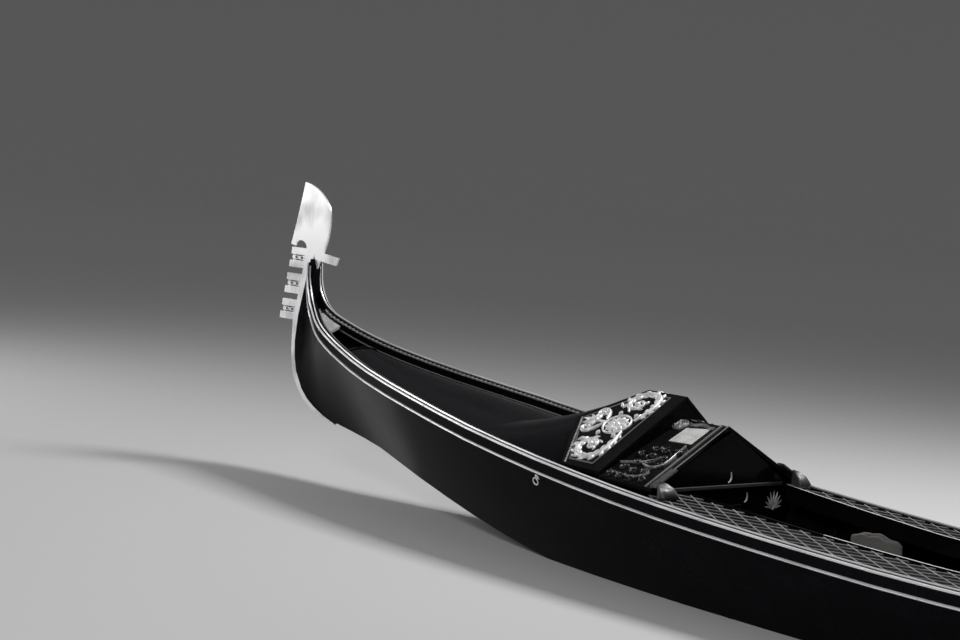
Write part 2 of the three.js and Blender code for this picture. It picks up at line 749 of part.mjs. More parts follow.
function foreBulkhead() {
  const { port, starboard, shoulder } = bulkheadOutline(BULKHEAD_X, 4);
  const portEdge = bandInner('port', 1090) - 12;
  const starboardEdge = -bandInner('starboard', 1250) + 12;
  const under = HATCH_EDGE - 26;
  const top = [[portEdge, under], [HATCH_REACH.port, under], [0, hatchHeight(0, 0) - 26],
    [-HATCH_REACH.starboard, under], [starboardEdge, under]];
  const outline = [...port, [portEdge, shoulder], ...top, [starboardEdge, shoulder], ...starboard];
  const ring = (x) => outline.map(([y, z]) => [x, y, z]);
  const board = loft([ring(BULKHEAD_X), ring(BULKHEAD_X - BULKHEAD_THICK)]);
  const { port: p, starboard: s, low, high } = DOORWAY;
  const doorway = box(BULKHEAD_X - 60, BULKHEAD_X + 40, s, p, low, high);
  return skewed(cut(board, doorway));
}

function foreDoor() {
  const c = DOOR_CLEARANCE;
  const x = BULKHEAD_X - BULKHEAD_THICK;
  const panel = box(x, x + 18, DOORWAY.starboard + c, DOORWAY.port - c, DOORWAY.low + c,
    DOORWAY.high - c);
  return skewed(panel);
}

addPiece('fore_bulkhead', foreBulkhead(), 'blackLacquer');
addPiece('fore_locker_door', foreDoor(), 'blackLacquer');

function bulkheadRail() {
  const x = BULKHEAD_X - BULKHEAD_THICK - 1;
  return skewed(box(x - 14, x, -440, 560, 520, 538));
}

addPiece('bulkhead_rail', bulkheadRail(), 'brightStrip');

// Side decks of the well. The starboard one widens from the bulkhead to amidships.
const SIDE_DECK = {
  port: { front: 1055, widthFront: 318, widthMiddle: 318 },
  starboard: { front: 1205, widthFront: 95, widthMiddle: 240 },
};
const SIDE_DECK_DROP = 6;       // side deck below the gunwale's top
const SIDE_DECK_THICK = 16;
const COAMING = { thickness: 14, rise: 5, height: 90 };

function deckInner(side, x) {
  const { front, widthFront, widthMiddle } = SIDE_DECK[side];
  const t = THREE.MathUtils.clamp(x / front, 0, 1);
  return bandInner(side, x) - THREE.MathUtils.lerp(widthMiddle, widthFront, t);
}

// Long layer of a side deck between two heights over its top face
function sideDeckLayer(side, low, high, inset) {
  const sign = SIDES[side];
  return sectionLoft(stationsFrom(SIDE_DECK[side].front, WELL_AFT_X + 2), (x) => {
    const outer = bandInner(side, x) - 2 - inset;
    const inner = deckInner(side, x) + inset;
    const top = sheerHeight(x) - SIDE_DECK_DROP;
    const ring = [[outer, high], [inner, high], [inner, low], [outer, low]];
    return ring.map(([y, z]) => [sign * y, top + z]);
  });
}

// Diamond lattice of thin bars, raised on the side decks
const LATTICE = { pitch: 150, angle: 31, width: 6.5, rise: 3, inset: 3, middleY: 560 };

function latticeBars(side) {
  const { pitch, angle, width, middleY } = LATTICE;
  const reach = 620;
  const bars = [];
  for (let x = SIDE_DECK[side].front + pitch; x > WELL_AFT_X - pitch * 2; x -= pitch) {
    for (const turn of [angle, -angle]) {
      const bar = new THREE.BoxGeometry(reach * 2, width, 600);
      bar.rotateZ(THREE.MathUtils.degToRad(turn));
      bar.translate(x, SIDES[side] * middleY, sheerHeight(0));
      bars.push(bar);
    }
  }
  return bars;
}

function sideDeck(side) {
  const board = toSolid(sideDeckLayer(side, -SIDE_DECK_THICK, 0, 0));
  const layer = toSolid(sideDeckLayer(side, -1, LATTICE.rise, LATTICE.inset));
  const bars = toSolid(join(latticeBars(side)));
  return fromSolid(board.add(layer.intersect(bars)));
}

function coaming(side) {
  const sign = SIDES[side];
  return sectionLoft(stationsFrom(SIDE_DECK[side].front - 40, WELL_AFT_X + 6), (x) => {
    const outer = deckInner(side, x) - GAP;
    const inner = outer - COAMING.thickness;
    const top = sheerHeight(x) + COAMING.rise;
    const low = top - COAMING.height;
    return [[outer, top], [inner, top], [inner, low], [outer, low]].map(([y, z]) => [sign * y, z]);
  });
}

for (const side of Object.keys(SIDES)) {
  addPiece(`side_deck_${side}`, sideDeck(side), 'blackLacquer');
  addPiece(`coaming_${side}`, coaming(side), 'brightStrip');
}

// Ornament at the rear roof's lower aft corner: a scallop shell that opens aft over the side
// deck, and the guard that holds it to the roof's edge
const SHELL = {
  back: 6,                      // apex behind the roof's corner
  fromGunwale: 78,              // apex inboard of the gunwale
  notch: 0.07,                  // how far the edge draws in between two lobes
  groove: 0.16,                 // how far the surface sinks between two lobes
};
// The port shell lies on the lattice. The starboard one is narrower and rests on the coaming.
// Angles are degrees from straight aft, outboard positive; base is a height over the sheer.
const SHELL_FAN = {
  port: { fromAngle: -52, toAngle: 40, lobes: 6, base: LATTICE.rise - SIDE_DECK_DROP + GAP },
  starboard: { fromAngle: -15, toAngle: 40, lobes: 4, base: COAMING.rise + GAP },
};
const SHELL_RINGS = [
  // radius, height over the base
  [14, 76],
  [46, 70],
  [84, 50],
  [114, 14],
];
const CORNER_GUARD = { aft: 34, forward: 12, thickness: 10 };

function cornerShell(side) {
  const sign = SIDES[side];
  const apexY = sign * (bandInner(side, HATCH.cornerBack) - SHELL.fromGunwale);
  const apexX = HATCH.cornerBack - SHELL.back - ROOF_SKEW * apexY;
  const { fromAngle, toAngle, lobes, base } = SHELL_FAN[side];
  const steps = lobes * 2;
  return loft(SHELL_RINGS.map(([radius, height]) => {
    const top = [];
    const under = [];
    for (let j = 0; j <= steps; j++) {
      const between = 1 - (j % 2);
      const turn = THREE.MathUtils.lerp(fromAngle, toAngle, j / steps);
      const angle = THREE.MathUtils.degToRad(turn);
      const r = radius * (1 - SHELL.notch * between);
      const x = apexX - r * Math.cos(angle);
      const y = apexY + sign * r * Math.sin(angle);
      const low = sheerHeight(x) + base;
      top.push([x, y, low + height * (1 - SHELL.groove * between)]);
      under.push([x, y, low]);
    }
    return [...top, ...under.reverse()];
  }));
}

function cornerGuard(side) {
  const { aft, forward, thickness } = CORNER_GUARD;
  const backLine = hatchAftLine(side, -aft).slice(1);
  const frontLine = hatchAftLine(side, forward).slice(1).reverse();
  const under = (x, y) => hatchHeight(x, y) + HATCH_RIM.rise + GAP;
  return skewed(liftedPlate([...backLine, ...frontLine], thickness, under));
}

for (const side of Object.keys(SIDES)) {
  addPiece(`shell_ornament_${side}`, join([cornerShell(side), cornerGuard(side)]), 'silverCarving');
}

// Floorboards of the well
function floorboards() {
  return sectionLoft(stationsFrom(BULKHEAD_X - 120, WELL_AFT_X + 30), (x) => {
    const port = chineBreadth.port(x) - PLANK - 8;
    const starboard = -chineBreadth.starboard(x) + PLANK + 8;
    const low = FLOOR_Z - 18;
    return [[port, FLOOR_Z], [starboard, FLOOR_Z], [starboard, low], [port, low]];
  });
}

addPiece('floorboards', floorboards(), 'blackWood');

// Seats
const SEAT = { back: -1180, front: -620, port: 330, starboard: -230, top: 270 };

function mainSeatFrame() {
  const { back, front, port, starboard, top } = SEAT;
  const low = FLOOR_Z + GAP;
  const shell = box(back, front, starboard, port, low, top);
  const hollow = box(back + 25, front + 50, starboard + 25, port - 25, low - 10, top - 25);
  return cut(shell, hollow);
}

function mainSeatBack() {
  const { back, port, starboard, top } = SEAT;
  const width = port - starboard;
  const shape = new THREE.Shape();
  shape.moveTo(starboard, top + 1);
  shape.lineTo(port, top + 1);
  shape.lineTo(port, top + 250);
  const middle = (port + starboard) / 2;
  shape.bezierCurveTo(port - width * 0.15, top + 290, port - width * 0.25, top + 400, middle,
    top + 410);
  shape.bezierCurveTo(starboard + width * 0.25, top + 400, starboard + width * 0.15, top + 290,
    starboard, top + 250);
  const geometry = new THREE.ExtrudeGeometry(shape, { depth: 28, bevelEnabled: false,
    curveSegments: 8 });
  geometry.rotateX(Math.PI / 2);
  geometry.rotateZ(Math.PI / 2);
  geometry.translate(back + 1, 0, 0);
  return geometry;
}

addPiece('main_seat_frame', mainSeatFrame(), 'blackLacquer');
addPiece('main_seat_back', mainSeatBack(), 'blackLacquer');
const cushionLow = SEAT.top + 1;
addPiece('main_seat_cushion', box(SEAT.back + 32, SEAT.front - 8, SEAT.starboard + 8,
  SEAT.port - 8, cushionLow, cushionLow + 80), 'redLeather');

// Side benches that face each other ahead of the main seat
const BENCH = { front: 620, back: 20, width: 270, top: 215 };

function bench(side) {
  const sign = SIDES[side];
  const inner = side === 'port' ? 170 : 80;
  const y0 = sign * inner;
  const y1 = sign * (inner + BENCH.width);
  const [low, high] = [Math.min(y0, y1), Math.max(y0, y1)];
  const shell = box(BENCH.back, BENCH.front, low, high, FLOOR_Z + GAP, BENCH.top);
  const hollow = box(BENCH.back + 22, BENCH.front - 22, low - 40, high + 40, FLOOR_Z - 10,
    BENCH.top - 22);
  const cushion = box(BENCH.back + 8, BENCH.front - 8, low + 8, high - 8, BENCH.top + 1,
    BENCH.top + 71);
  addPiece(`side_seat_${side}`, cut(shell, hollow), 'blackLacquer');
  addPiece(`side_cushion_${side}`, cushion, 'paleCloth');
}

bench('port');
bench('starboard');

// Pillow that stands on the starboard cushion and leans on the coaming
const PILLOW = { front: 580, back: 240, outer: -322, thickness: 39, height: 138, shoulder: 60 };

function pillow() {
  const { front, back, outer, thickness, height, shoulder } = PILLOW;
  const low = BENCH.top + 72;
  const high = low + height;
  const outline = [
    [front - 20, low], [front, low + 40], [front - 8, high - shoulder], [front - shoulder, high - 12],
    [(front + back) / 2, high], [back + shoulder, high - 12], [back + 8, high - shoulder],
    [back, low + 40], [back + 20, low],
  ];
  return uprightPlate(outline, thickness, outer + thickness / 2);
}

addPiece('pillow_starboard', pillow(), 'paleCloth');

// Aft bulkhead, aft deck with its hatch
function aftBulkhead() {
  const x = WELL_AFT_X;
  const low = chineHeight(x) + BOTTOM_PLANK + 4;
  const high = sheerHeight(x) - DECK_DROP - DECK_THICK - 6;
  const outline = [
    [insideBreadth('port', x, low) - 3, low], [insideBreadth('port', x, high) - 3, high],
    [-insideBreadth('starboard', x, high) + 3, high], [-insideBreadth('starboard', x, low) + 3, low],
  ];
  return loft([x, x - 20].map((at) => outline.map(([y, z]) => [at, y, z])));
}

addPiece('aft_bulkhead', aftBulkhead(), 'blackLacquer');

const AFT_HATCH = { front: -1760, back: -2180, port: 230, starboard: -180 };
const AFT_DECK_BACK = -5060;
const aftCrown = () => 30;

function aftDeck() {
  const deck = sectionLoft(stationsFrom(WELL_AFT_X - 2, AFT_DECK_BACK),
    deckSection(aftCrown, DECK_THICK, ACROSS));
  const { front, back, port, starboard } = AFT_HATCH;
  return cut(deck, box(back, front, starboard, port, 300, 700));
}

function aftHatch() {
  const c = DOOR_CLEARANCE;
  const { front, back, port, starboard } = AFT_HATCH;
  const stations = stationsFrom(WELL_AFT_X - 2, AFT_DECK_BACK);
  const deck = sectionLoft(stations, deckSection(aftCrown, DECK_THICK, ACROSS));
  const opening = box(back + c, front - c, starboard + c, port - c, 300, 700);
  return fromSolid(toSolid(deck).intersect(toSolid(opening)));
}

addPiece('aft_deck', aftDeck(), 'blackLacquer');
addPiece('aft_hatch', aftHatch(), 'blackLacquer');

// Wedge that the oarsman stands on
function standingBoard() {
  const [front, back] = [-2830, -3270];
  return sectionLoft([front, ...STATIONS.filter((x) => x < front && x > back), back], (x) => {
    const low = sheerHeight(x) - DECK_DROP + 32;
    const top = low + THREE.MathUtils.mapLinear(x, front, back, 22, 62);
    return [[20, low], [20, top], [300, top], [300, low]];
  });
}

addPiece('standing_board', standingBoard(), 'blackWood');

// Oarlock: a block on the starboard gunwale and the carved post that stands in it
const OARLOCK_X = -2260;

function oarlockBlock() {
  const ends = [OARLOCK_X + 190, OARLOCK_X - 190];
  const top = sheerHeight(ends[1]) - 6;
  return sectionLoft(ends, (x) => {
    const face = -bandInner('starboard', x) + 2;
    const low = sheerHeight(x) - DECK_DROP + 24;
    return [[face, low], [face, top], [face + 95, top], [face + 95, low]];
  });
}

function oarlock() {
  const base = sheerHeight(OARLOCK_X - 190) - 6 + GAP;
  const y = -bandInner('starboard', OARLOCK_X) + 50;
  const shape = new THREE.Shape();
  shape.moveTo(OARLOCK_X - 60, base);
  shape.lineTo(OARLOCK_X + 60, base);
  shape.bezierCurveTo(OARLOCK_X + 75, base + 110, OARLOCK_X + 120, base + 150, OARLOCK_X + 130,
    base + 215);
  shape.lineTo(OARLOCK_X + 178, base + 290);
  shape.lineTo(OARLOCK_X + 130, base + 305);
  shape.bezierCurveTo(OARLOCK_X + 95, base + 270, OARLOCK_X + 60, base + 285, OARLOCK_X + 62,
    base + 345);
  shape.lineTo(OARLOCK_X + 108, base + 430);
  shape.lineTo(OARLOCK_X + 58, base + 446);
  shape.bezierCurveTo(OARLOCK_X + 20, base + 395, OARLOCK_X - 30, base + 400, OARLOCK_X - 52,
    base + 440);
  shape.lineTo(OARLOCK_X - 96, base + 415);
  shape.bezierCurveTo(OARLOCK_X - 60, base + 300, OARLOCK_X - 95, base + 150, OARLOCK_X - 60,
    base);
  const geometry = new THREE.ExtrudeGeometry(shape, { depth: 52, bevelEnabled: false,
    curveSegments: 6 });
  geometry.rotateX(Math.PI / 2);
  geometry.translate(0, y + 26, 0);
  return geometry;
}

addPiece('oarlock_block', oarlockBlock(), 'blackWood');
addPiece('oarlock', oarlock(), 'walnut');

export default boat;
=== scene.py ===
# %% [markdown]
# # A Venetian gondola in Blender
#
# The boat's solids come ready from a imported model, the frame. This lesson dresses them: black
# lacquer with a hand-polished gloss, bright metal strips, rope-twist mouldings, carved silver
# ornament on the hood, and padded seats. Every cell prints what it made.

# %% Load the frame
import json
import math

import bmesh
import bpy
import numpy as np
from mathutils import Matrix, Vector
from mathutils.bvhtree import BVHTree


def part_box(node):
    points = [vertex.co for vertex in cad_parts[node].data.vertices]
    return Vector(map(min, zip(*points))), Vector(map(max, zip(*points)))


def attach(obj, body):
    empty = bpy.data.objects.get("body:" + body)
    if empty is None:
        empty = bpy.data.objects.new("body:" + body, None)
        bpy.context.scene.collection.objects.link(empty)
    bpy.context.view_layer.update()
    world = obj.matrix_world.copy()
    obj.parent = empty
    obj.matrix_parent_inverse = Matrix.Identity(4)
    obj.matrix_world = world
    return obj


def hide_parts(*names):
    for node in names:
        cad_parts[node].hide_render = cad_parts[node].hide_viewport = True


def link_piece(name, data):
    piece = bpy.data.objects.new(name, data)
    bpy.context.scene.collection.objects.link(piece)
    return piece


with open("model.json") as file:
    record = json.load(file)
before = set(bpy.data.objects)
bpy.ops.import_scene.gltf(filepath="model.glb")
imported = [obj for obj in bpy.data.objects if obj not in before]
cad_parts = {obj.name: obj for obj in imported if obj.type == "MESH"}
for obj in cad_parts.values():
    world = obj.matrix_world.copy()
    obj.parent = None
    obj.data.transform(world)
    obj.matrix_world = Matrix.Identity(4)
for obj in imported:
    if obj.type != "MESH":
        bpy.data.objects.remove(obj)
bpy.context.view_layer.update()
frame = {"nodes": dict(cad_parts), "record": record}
nodes = frame["nodes"]

# %% [markdown]
# ## The camera
#
# The picture was taken from the port quarter, low over the water, with a long lens. The place,
# the direction and the lens were found by matching the boat's edges, so the camera is a plain
# matrix of three directions and one point.

# %% Camera
CAMERA_PLACE = Vector((-6.9965, 8.1391, 1.9697))
CAMERA_RIGHT = Vector((-0.61313, -0.78578, 0.08141))
CAMERA_UP = Vector((0.09798, 0.02662, 0.99483))
LENS_MM = 84.35
SENSOR_MM = 36.0
FARTHEST_SIGHT = 900.0


def make_camera():
    data = bpy.data.cameras.new("long_lens")
    data.lens = LENS_MM
    data.sensor_width = SENSOR_MM
    data.clip_end = FARTHEST_SIGHT
    camera = link_piece("long_lens", data)
    back = CAMERA_RIGHT.cross(CAMERA_UP).normalized()
    up = back.cross(CAMERA_RIGHT).normalized()
    turn = Matrix((CAMERA_RIGHT.normalized(), up, back)).transposed()
    camera.matrix_world = Matrix.Translation(CAMERA_PLACE) @ turn.to_4x4()
    bpy.context.scene.camera = camera
    return camera


camera = make_camera()
print("camera at", [round(v, 2) for v in camera.location], "lens", LENS_MM)

# %% [markdown]
# ## Lines of the hull
#
# Ropes, nails and lattice all follow the gunwale. The gunwale's own solid tells where it runs:
# its points lie in sections across the boat, so each section gives the top outer edge.

# %% Measure the gunwale
MM = 0.001
# Both sides with their sign of y
SIDES = {"port": 1, "starboard": -1}
HULL_PARTS = ("fore", "mid", "aft")
SAME_SECTION = 2e-4


def node_points(name):
    data = nodes[name].data
    points = np.empty(len(data.vertices) * 3)
    data.vertices.foreach_get("co", points)
    return points.reshape(-1, 3)


def sections(points):
    """The points of a long solid, one section across the boat after the other, sorted by x."""
    for x in np.unique(np.round(points[:, 0], 4)):
        yield x, points[np.abs(points[:, 0] - x) < SAME_SECTION]


def section_table(name, pick):
    """One picked point for each section of a long solid, sorted by x."""
    return np.array([pick(section) for _, section in sections(node_points(name))])


def top_outer(section):
    """The top outer corner: height counts ten times as much as breadth."""
    score = section[:, 2] * 10 + np.abs(section[:, 1])
    return section[np.argmax(score)]


SHEER = {side: section_table(f"gunwale_{side}", top_outer) for side in SIDES}


def sheer_point(side, x):
    """Top outer edge of the gunwale at a distance x."""
    table = SHEER[side]
    y = np.interp(x, table[:, 0], table[:, 1])
    z = np.interp(x, table[:, 0], table[:, 2])
    return Vector((x, float(y), float(z)))


print("gunwale sections:", {side: len(table) for side, table in SHEER.items()})

# %% [markdown]
# ## Floor and light
#
# A boat floats, so the pale floor lies at the waterline and has a hole of the hull's own outline.
# Without the hole the floor would run through the passenger well, whose boards are lower than
# the water. Far away the floor curves up into a wall, as in a photo studio, so no horizon shows.
# Three soft windows give the light: one from ahead, the strongest from high on the starboard
# side, and a weaker one from the port side.

# %% Floor with the hull's outline cut out
FLOOR_RADIUS = 90.0
COVE_RISE = 70.0
COVE_STEPS = 14
RIM_POINTS = 96
# How far the floor reaches in under the planks, so that no gap shows
FLOOR_TUCK = 0.004


def waterline(side):
    """Where the outer face of the side planks meets the floor, from bow to stern."""
    points = np.concatenate([node_points(f"hull_side_{side}_{part}") for part in HULL_PARTS])
    found = []
    for x, section in sections(points):
        breadth = {}
        for _, y, z in section:
            level = round(z, 4)
            breadth[level] = max(breadth.get(level, 0.0), abs(y))
        levels = sorted(breadth)
        if levels[0] < 0.0 < levels[-1]:
            afloat = np.interp(0.0, levels, [breadth[level] for level in levels])
            found.append((x, SIDES[side] * (afloat - FLOOR_TUCK)))
    return found[::-1]


def cove_ring(mesh, turn):
    """A ring of points on the cove's quarter circle: level floor at turn 0, upright at 90 degrees."""
    radius = FLOOR_RADIUS + COVE_RISE * math.sin(turn)
    level = COVE_RISE * (1 - math.cos(turn))
    angles = [math.tau * k / RIM_POINTS for k in range(RIM_POINTS)]
    return [mesh.verts.new((radius * math.cos(a), radius * math.sin(a), level)) for a in angles]


def ring_edges(mesh, ring):
    return [mesh.edges.new((a, b)) for a, b in zip(ring, ring[1:] + ring[:1])]


def make_floor():
    hull = waterline("port") + waterline("starboard")[::-1]
    mesh = bmesh.new()
    ring = [mesh.verts.new((x, y, 0.0)) for x, y in hull]
    rims = [cove_ring(mesh, math.radians(90 * i / COVE_STEPS)) for i in range(COVE_STEPS + 1)]
    edges = ring_edges(mesh, ring) + ring_edges(mesh, rims[0])
    bmesh.ops.triangle_fill(mesh, use_beauty=True, edges=edges)
    for face in mesh.faces:
        if face.normal.z < 0:
            face.normal_flip()
    for low, high in zip(rims, rims[1:]):
        for k in range(RIM_POINTS):
            beside = (k + 1) % RIM_POINTS
            mesh.faces.new((low[k], high[k], high[beside], low[beside])).smooth = True
    data = bpy.data.meshes.new("floor")
    mesh.to_mesh(data)
    mesh.free()
    floor = link_piece("floor", data)
    return floor


floor = make_floor()
print("floor faces:", len(floor.data.polygons))

# %% Light
LIGHTS = [
    # name, place, target, size, watts
    ("front_window", (13.5, 4.5, 3.6), (4.8, 0.0, 0.9), 3.0, 330.0),
    ("high_window", (1.0, -4.5, 8.5), (1.8, 0.0, 0.4), 3.0, 700.0),
    ("port_window", (-2.0, 9.0, 7.0), (2.2, 0.0, 0.6), 3.0, 300.0),
]


def make_light(name, place, target, size, watts):
    data = bpy.data.lights.new(name, "AREA")
    data.shape = "SQUARE"
    data.size = size
    data.energy = watts
    light = link_piece(name, data)
    light.location = place
    light.rotation_euler = (Vector(target) - Vector(place)).to_track_quat("-Z", "Y").to_euler()


for row in LIGHTS:
    make_light(*row)
world = bpy.data.worlds.new("studio")
world.use_nodes = True
background = world.node_tree.nodes["Background"]
background.inputs["Color"].default_value = (0.22, 0.22, 0.225, 1)
background.inputs["Strength"].default_value = 0.8
bpy.context.scene.world = world
bpy.context.scene.view_settings.view_transform = "Standard"
print("lights:", len(LIGHTS))

# %% [markdown]
# ## Shader groups
#
# Three effects come back on many finishes. Smudges make a hand-polished gloss uneven. Streaks
# are long fine marks, for wood grain and for brushed metal. Pebbles are leather's fine grain.
# Each is a node group with named inputs, built once and used with other values.

# %% Helpers for node trees
# Sockets that aren't plain numbers
SOCKET_KINDS = {"Geometry": "NodeSocketGeometry", "Finish": "NodeSocketMaterial"}


def wire(tree, kind, inputs, **settings):
    """A new node; each input is set to a plain value or linked to a socket."""
    node = tree.nodes.new(kind)
    for key, value in settings.items():
        setattr(node, key, value)
    for key, value in inputs.items():
        if isinstance(value, bpy.types.NodeSocket):
            tree.links.new(value, node.inputs[key])
        else:
            node.inputs[key].default_value = value
    return node


def new_group(kind, name, inputs, output):
    """A node group with named inputs and one output; gives it with its own ends."""
    group = bpy.data.node_groups.new(name, kind)
    for label, value in inputs.items():
        socket_kind = SOCKET_KINDS.get(label, "NodeSocketFloat")
        socket = group.interface.new_socket(label, in_out="INPUT", socket_type=socket_kind)
        if value is not None:
            socket.default_value = value
    socket_kind = SOCKET_KINDS.get(output, "NodeSocketFloat")
    group.interface.new_socket(output, in_out="OUTPUT", socket_type=socket_kind)
    start = group.nodes.new("NodeGroupInput")
    end = group.nodes.new("NodeGroupOutput")
    return group, start.outputs, end.inputs[0]


def maths(tree, operation, a, b):
    return wire(tree, "ShaderNodeMath", {0: a, 1: b}, operation=operation).outputs[0]


def object_place(tree):
    return tree.nodes.new("ShaderNodeTexCoord").outputs["Object"]


def noise(tree, scale, detail, roughness=0.55, place=None):
    inputs = {"Scale": scale, "Detail": detail, "Roughness": roughness,
              "Vector": place or object_place(tree)}
    return wire(tree, "ShaderNodeTexNoise", inputs).outputs["Fac"]


# %% Smudges: soft cloudy marks
SMUDGE_FINENESS = 9.0
SMUDGE_CONTRAST = 3.2
SMUDGE_SHIFT = 0.4


def make_smudges():
    group, start, end = new_group("ShaderNodeTree", "smudges", {"Scale": 6.0, "Amount": 0.5}, "Mask")
    wide = noise(group, start["Scale"], 3)
    fine = noise(group, maths(group, "MULTIPLY", start["Scale"], SMUDGE_FINENESS), 4)
    both = maths(group, "MULTIPLY", maths(group, "MULTIPLY", wide, fine), SMUDGE_CONTRAST)
    shifted = maths(group, "SUBTRACT", both, SMUDGE_SHIFT)
    group.links.new(maths(group, "MULTIPLY", shifted, start["Amount"]), end)
    return group


smudges = make_smudges()


# %% Streaks: marks drawn out along one direction
def make_streaks():
    inputs = {"Scale": 30.0, "Along X": 0.05, "Along Y": 1.0, "Along Z": 1.0}
    group, start, end = new_group("ShaderNodeTree", "streaks", inputs, "Mask")
    stretch = wire(group, "ShaderNodeCombineXYZ", {axis: start[f"Along {axis}"] for axis in "XYZ"})
    drawn = {0: object_place(group), 1: stretch.outputs[0]}
    scaled = wire(group, "ShaderNodeVectorMath", drawn, operation="MULTIPLY")
    group.links.new(noise(group, start["Scale"], 5, 0.65, scaled.outputs[0]), end)
    return group


streaks = make_streaks()


# %% Pebbles: leather's closed cells
def make_pebbles():
    group, start, end = new_group("ShaderNodeTree", "pebbles", {"Scale": 260.0}, "Height")
    inputs = {"Scale": start["Scale"], "Vector": object_place(group)}
    cells = wire(group, "ShaderNodeTexVoronoi", inputs, feature="SMOOTH_F1")
    group.links.new(cells.outputs["Distance"], end)
    return group


pebbles = make_pebbles()
print("shader groups:", [group.name for group in (smudges, streaks, pebbles)])

# %% [markdown]
# ## Finishes
#
# A finish starts plain: base colour, roughness, metalness and coat sit on the shader's own
# sockets. Then each material adds the marks that the real surface has.

# %% Start of every finish
class Finish:
    """A material and its shader, with the marks that the real surface has."""

    def __init__(self, name, color, roughness, metal=0.0, coat=0.0, specular=0.5):
        self.material = bpy.data.materials.new(name)
        self.material.use_nodes = True
        self.tree = self.material.node_tree
        self.shader = self.tree.nodes["Principled BSDF"]
        plain = {"Base Color": (*color, 1), "Roughness": roughness, "Metallic": metal,
                 "Coat Weight": coat, "Coat Roughness": 0.05, "Specular IOR Level": specular}
        for label, value in plain.items():
            self.shader.inputs[label].default_value = value

    def marks(self, group, **values):
        """Places a shader group with these inputs and gives its output."""
        inputs = {label.replace("_", " "): value for label, value in values.items()}
        return wire(self.tree, "ShaderNodeGroup", inputs, node_tree=group).outputs[0]

    def drive(self, socket, output):
        self.tree.links.new(output, self.shader.inputs[socket])

    def vary(self, socket, mask, low, high):
        """Drives one socket between two values by a mask."""
        inputs = {"Value": mask, "To Min": low, "To Max": high}
        self.drive(socket, wire(self.tree, "ShaderNodeMapRange", inputs).outputs["Result"])

    def vary_color(self, mask, dark, light, low=0.3, high=0.7):
        ramp = wire(self.tree, "ShaderNodeValToRGB", {"Fac": mask})
        for stop, place, color in zip(ramp.color_ramp.elements, (low, high), (dark, light)):
            stop.position = place
            stop.color = (*color, 1)
        self.drive("Base Color", ramp.outputs["Color"])

    def bump(self, height, strength, distance):
        inputs = {"Height": height, "Strength": strength, "Distance": distance}
        self.drive("Normal", wire(self.tree, "ShaderNodeBump", inputs).outputs["Normal"])

    def smudge(self, scale, amount, roughness, colors):
        """Smudges that vary roughness and colour, each between two values; gives their mask."""
        mask = self.marks(smudges, Scale=scale, Amount=amount)
        self.vary("Roughness", mask, *roughness)
        self.vary_color(mask, *colors)
        return mask


# %% Black lacquer of hull and decks
LACQUER_WEAR = 1.5


def make_lacquer(name, color, smooth, rough, wave, shine=0.025):
    finish = Finish(name, color, smooth, specular=shine)
    finish.smudge(5.0, 0.9, (smooth, rough), (color, [channel * LACQUER_WEAR for channel in color]))
    finish.bump(finish.marks(streaks, Scale=9.0, Along_X=0.12), wave, 0.004)
    return finish.material


black_lacquer = make_lacquer("black lacquer", (0.004, 0.004, 0.005), 0.10, 0.24, 0.10)
black_wood = make_lacquer("worn black paint", (0.010, 0.010, 0.011), 0.32, 0.55, 0.5)
bottom_paint = make_lacquer("bottom paint", (0.012, 0.013, 0.015), 0.5, 0.75, 0.4)
black_carving = make_lacquer("carved lacquer", (0.006, 0.006, 0.0065), 0.16, 0.34, 0.2)
dark_foliage = make_lacquer("dark foliage", (0.010, 0.010, 0.011), 0.22, 0.40, 0.2, shine=0.5)
# Pale grey for the breasthook: partly its own paint, partly painted sheen, the light reflecting on its top
# put into the colour
grey_paint_and_sheen = make_lacquer("pale grey paint and painted sheen", (0.34, 0.34, 0.34), 0.4, 0.6, 0.1, shine=0.4)
line_grey = make_lacquer("grey line paint", (0.10, 0.10, 0.10), 0.35, 0.55, 0.1, shine=0.4)
rail_grey = make_lacquer("worn rail paint", (0.05, 0.05, 0.05), 0.40, 0.60, 0.2, shine=0.3)
lattice_paint = make_lacquer("lattice paint", (0.24, 0.24, 0.235), 0.35, 0.55, 0.1, shine=0.4)
print("painted finishes made")


# %% Bright metal
BRUSH_SHARE = 0.2
TARNISH_NOISE = 5.0


def make_metal(name, color, roughness, along, marks, metal=1.0, tarnish=0.78):
    finish = Finish(name, color, roughness, metal=metal)
    cloud = finish.marks(smudges, Scale=11.0, Amount=0.7)
    finish.vary("Roughness", cloud, roughness, roughness + 0.16)
    x, y, z = along
    brush = finish.marks(streaks, Scale=90.0, Along_X=x, Along_Y=y, Along_Z=z)
    worn = noise(finish.tree, TARNISH_NOISE, 1, 0.3)
    both = maths(finish.tree, "ADD", maths(finish.tree, "MULTIPLY", brush, BRUSH_SHARE),
                 maths(finish.tree, "MULTIPLY", worn, 1 - BRUSH_SHARE))
    finish.vary_color(both, [channel * tarnish for channel in color], color, 0.34, 0.52)
    finish.bump(brush, marks, 0.0006)
    return finish.material


polished_steel = make_metal("polished steel", (0.93, 0.93, 0.94), 0.36, (0.6, 1.0, 0.12), 0.04,
                            metal=0.5, tarnish=0.6)
bright_strip = make_metal("bright strip", (0.95, 0.95, 0.96), 0.30, (0.04, 1.0, 1.0), 0.1, metal=0.35)
brass = make_metal("brass", (0.72, 0.50, 0.20), 0.18, (1.0, 1.0, 0.2), 0.15)
rope_metal = make_metal("grey rope paint", (0.42, 0.42, 0.43), 0.36, (1.0, 1.0, 1.0), 0.2, metal=0.5)
print("metal finishes made")


# %% Silver leaf, plate, leather, cloth and wood
def make_silver(name, bright, worn, metal):
    finish = Finish(name, bright, 0.4, metal=metal)
    mask = finish.smudge(34.0, 1.0, (0.32, 0.56), (bright, worn))
    finish.bump(mask, 0.35, 0.0008)
    return finish.material


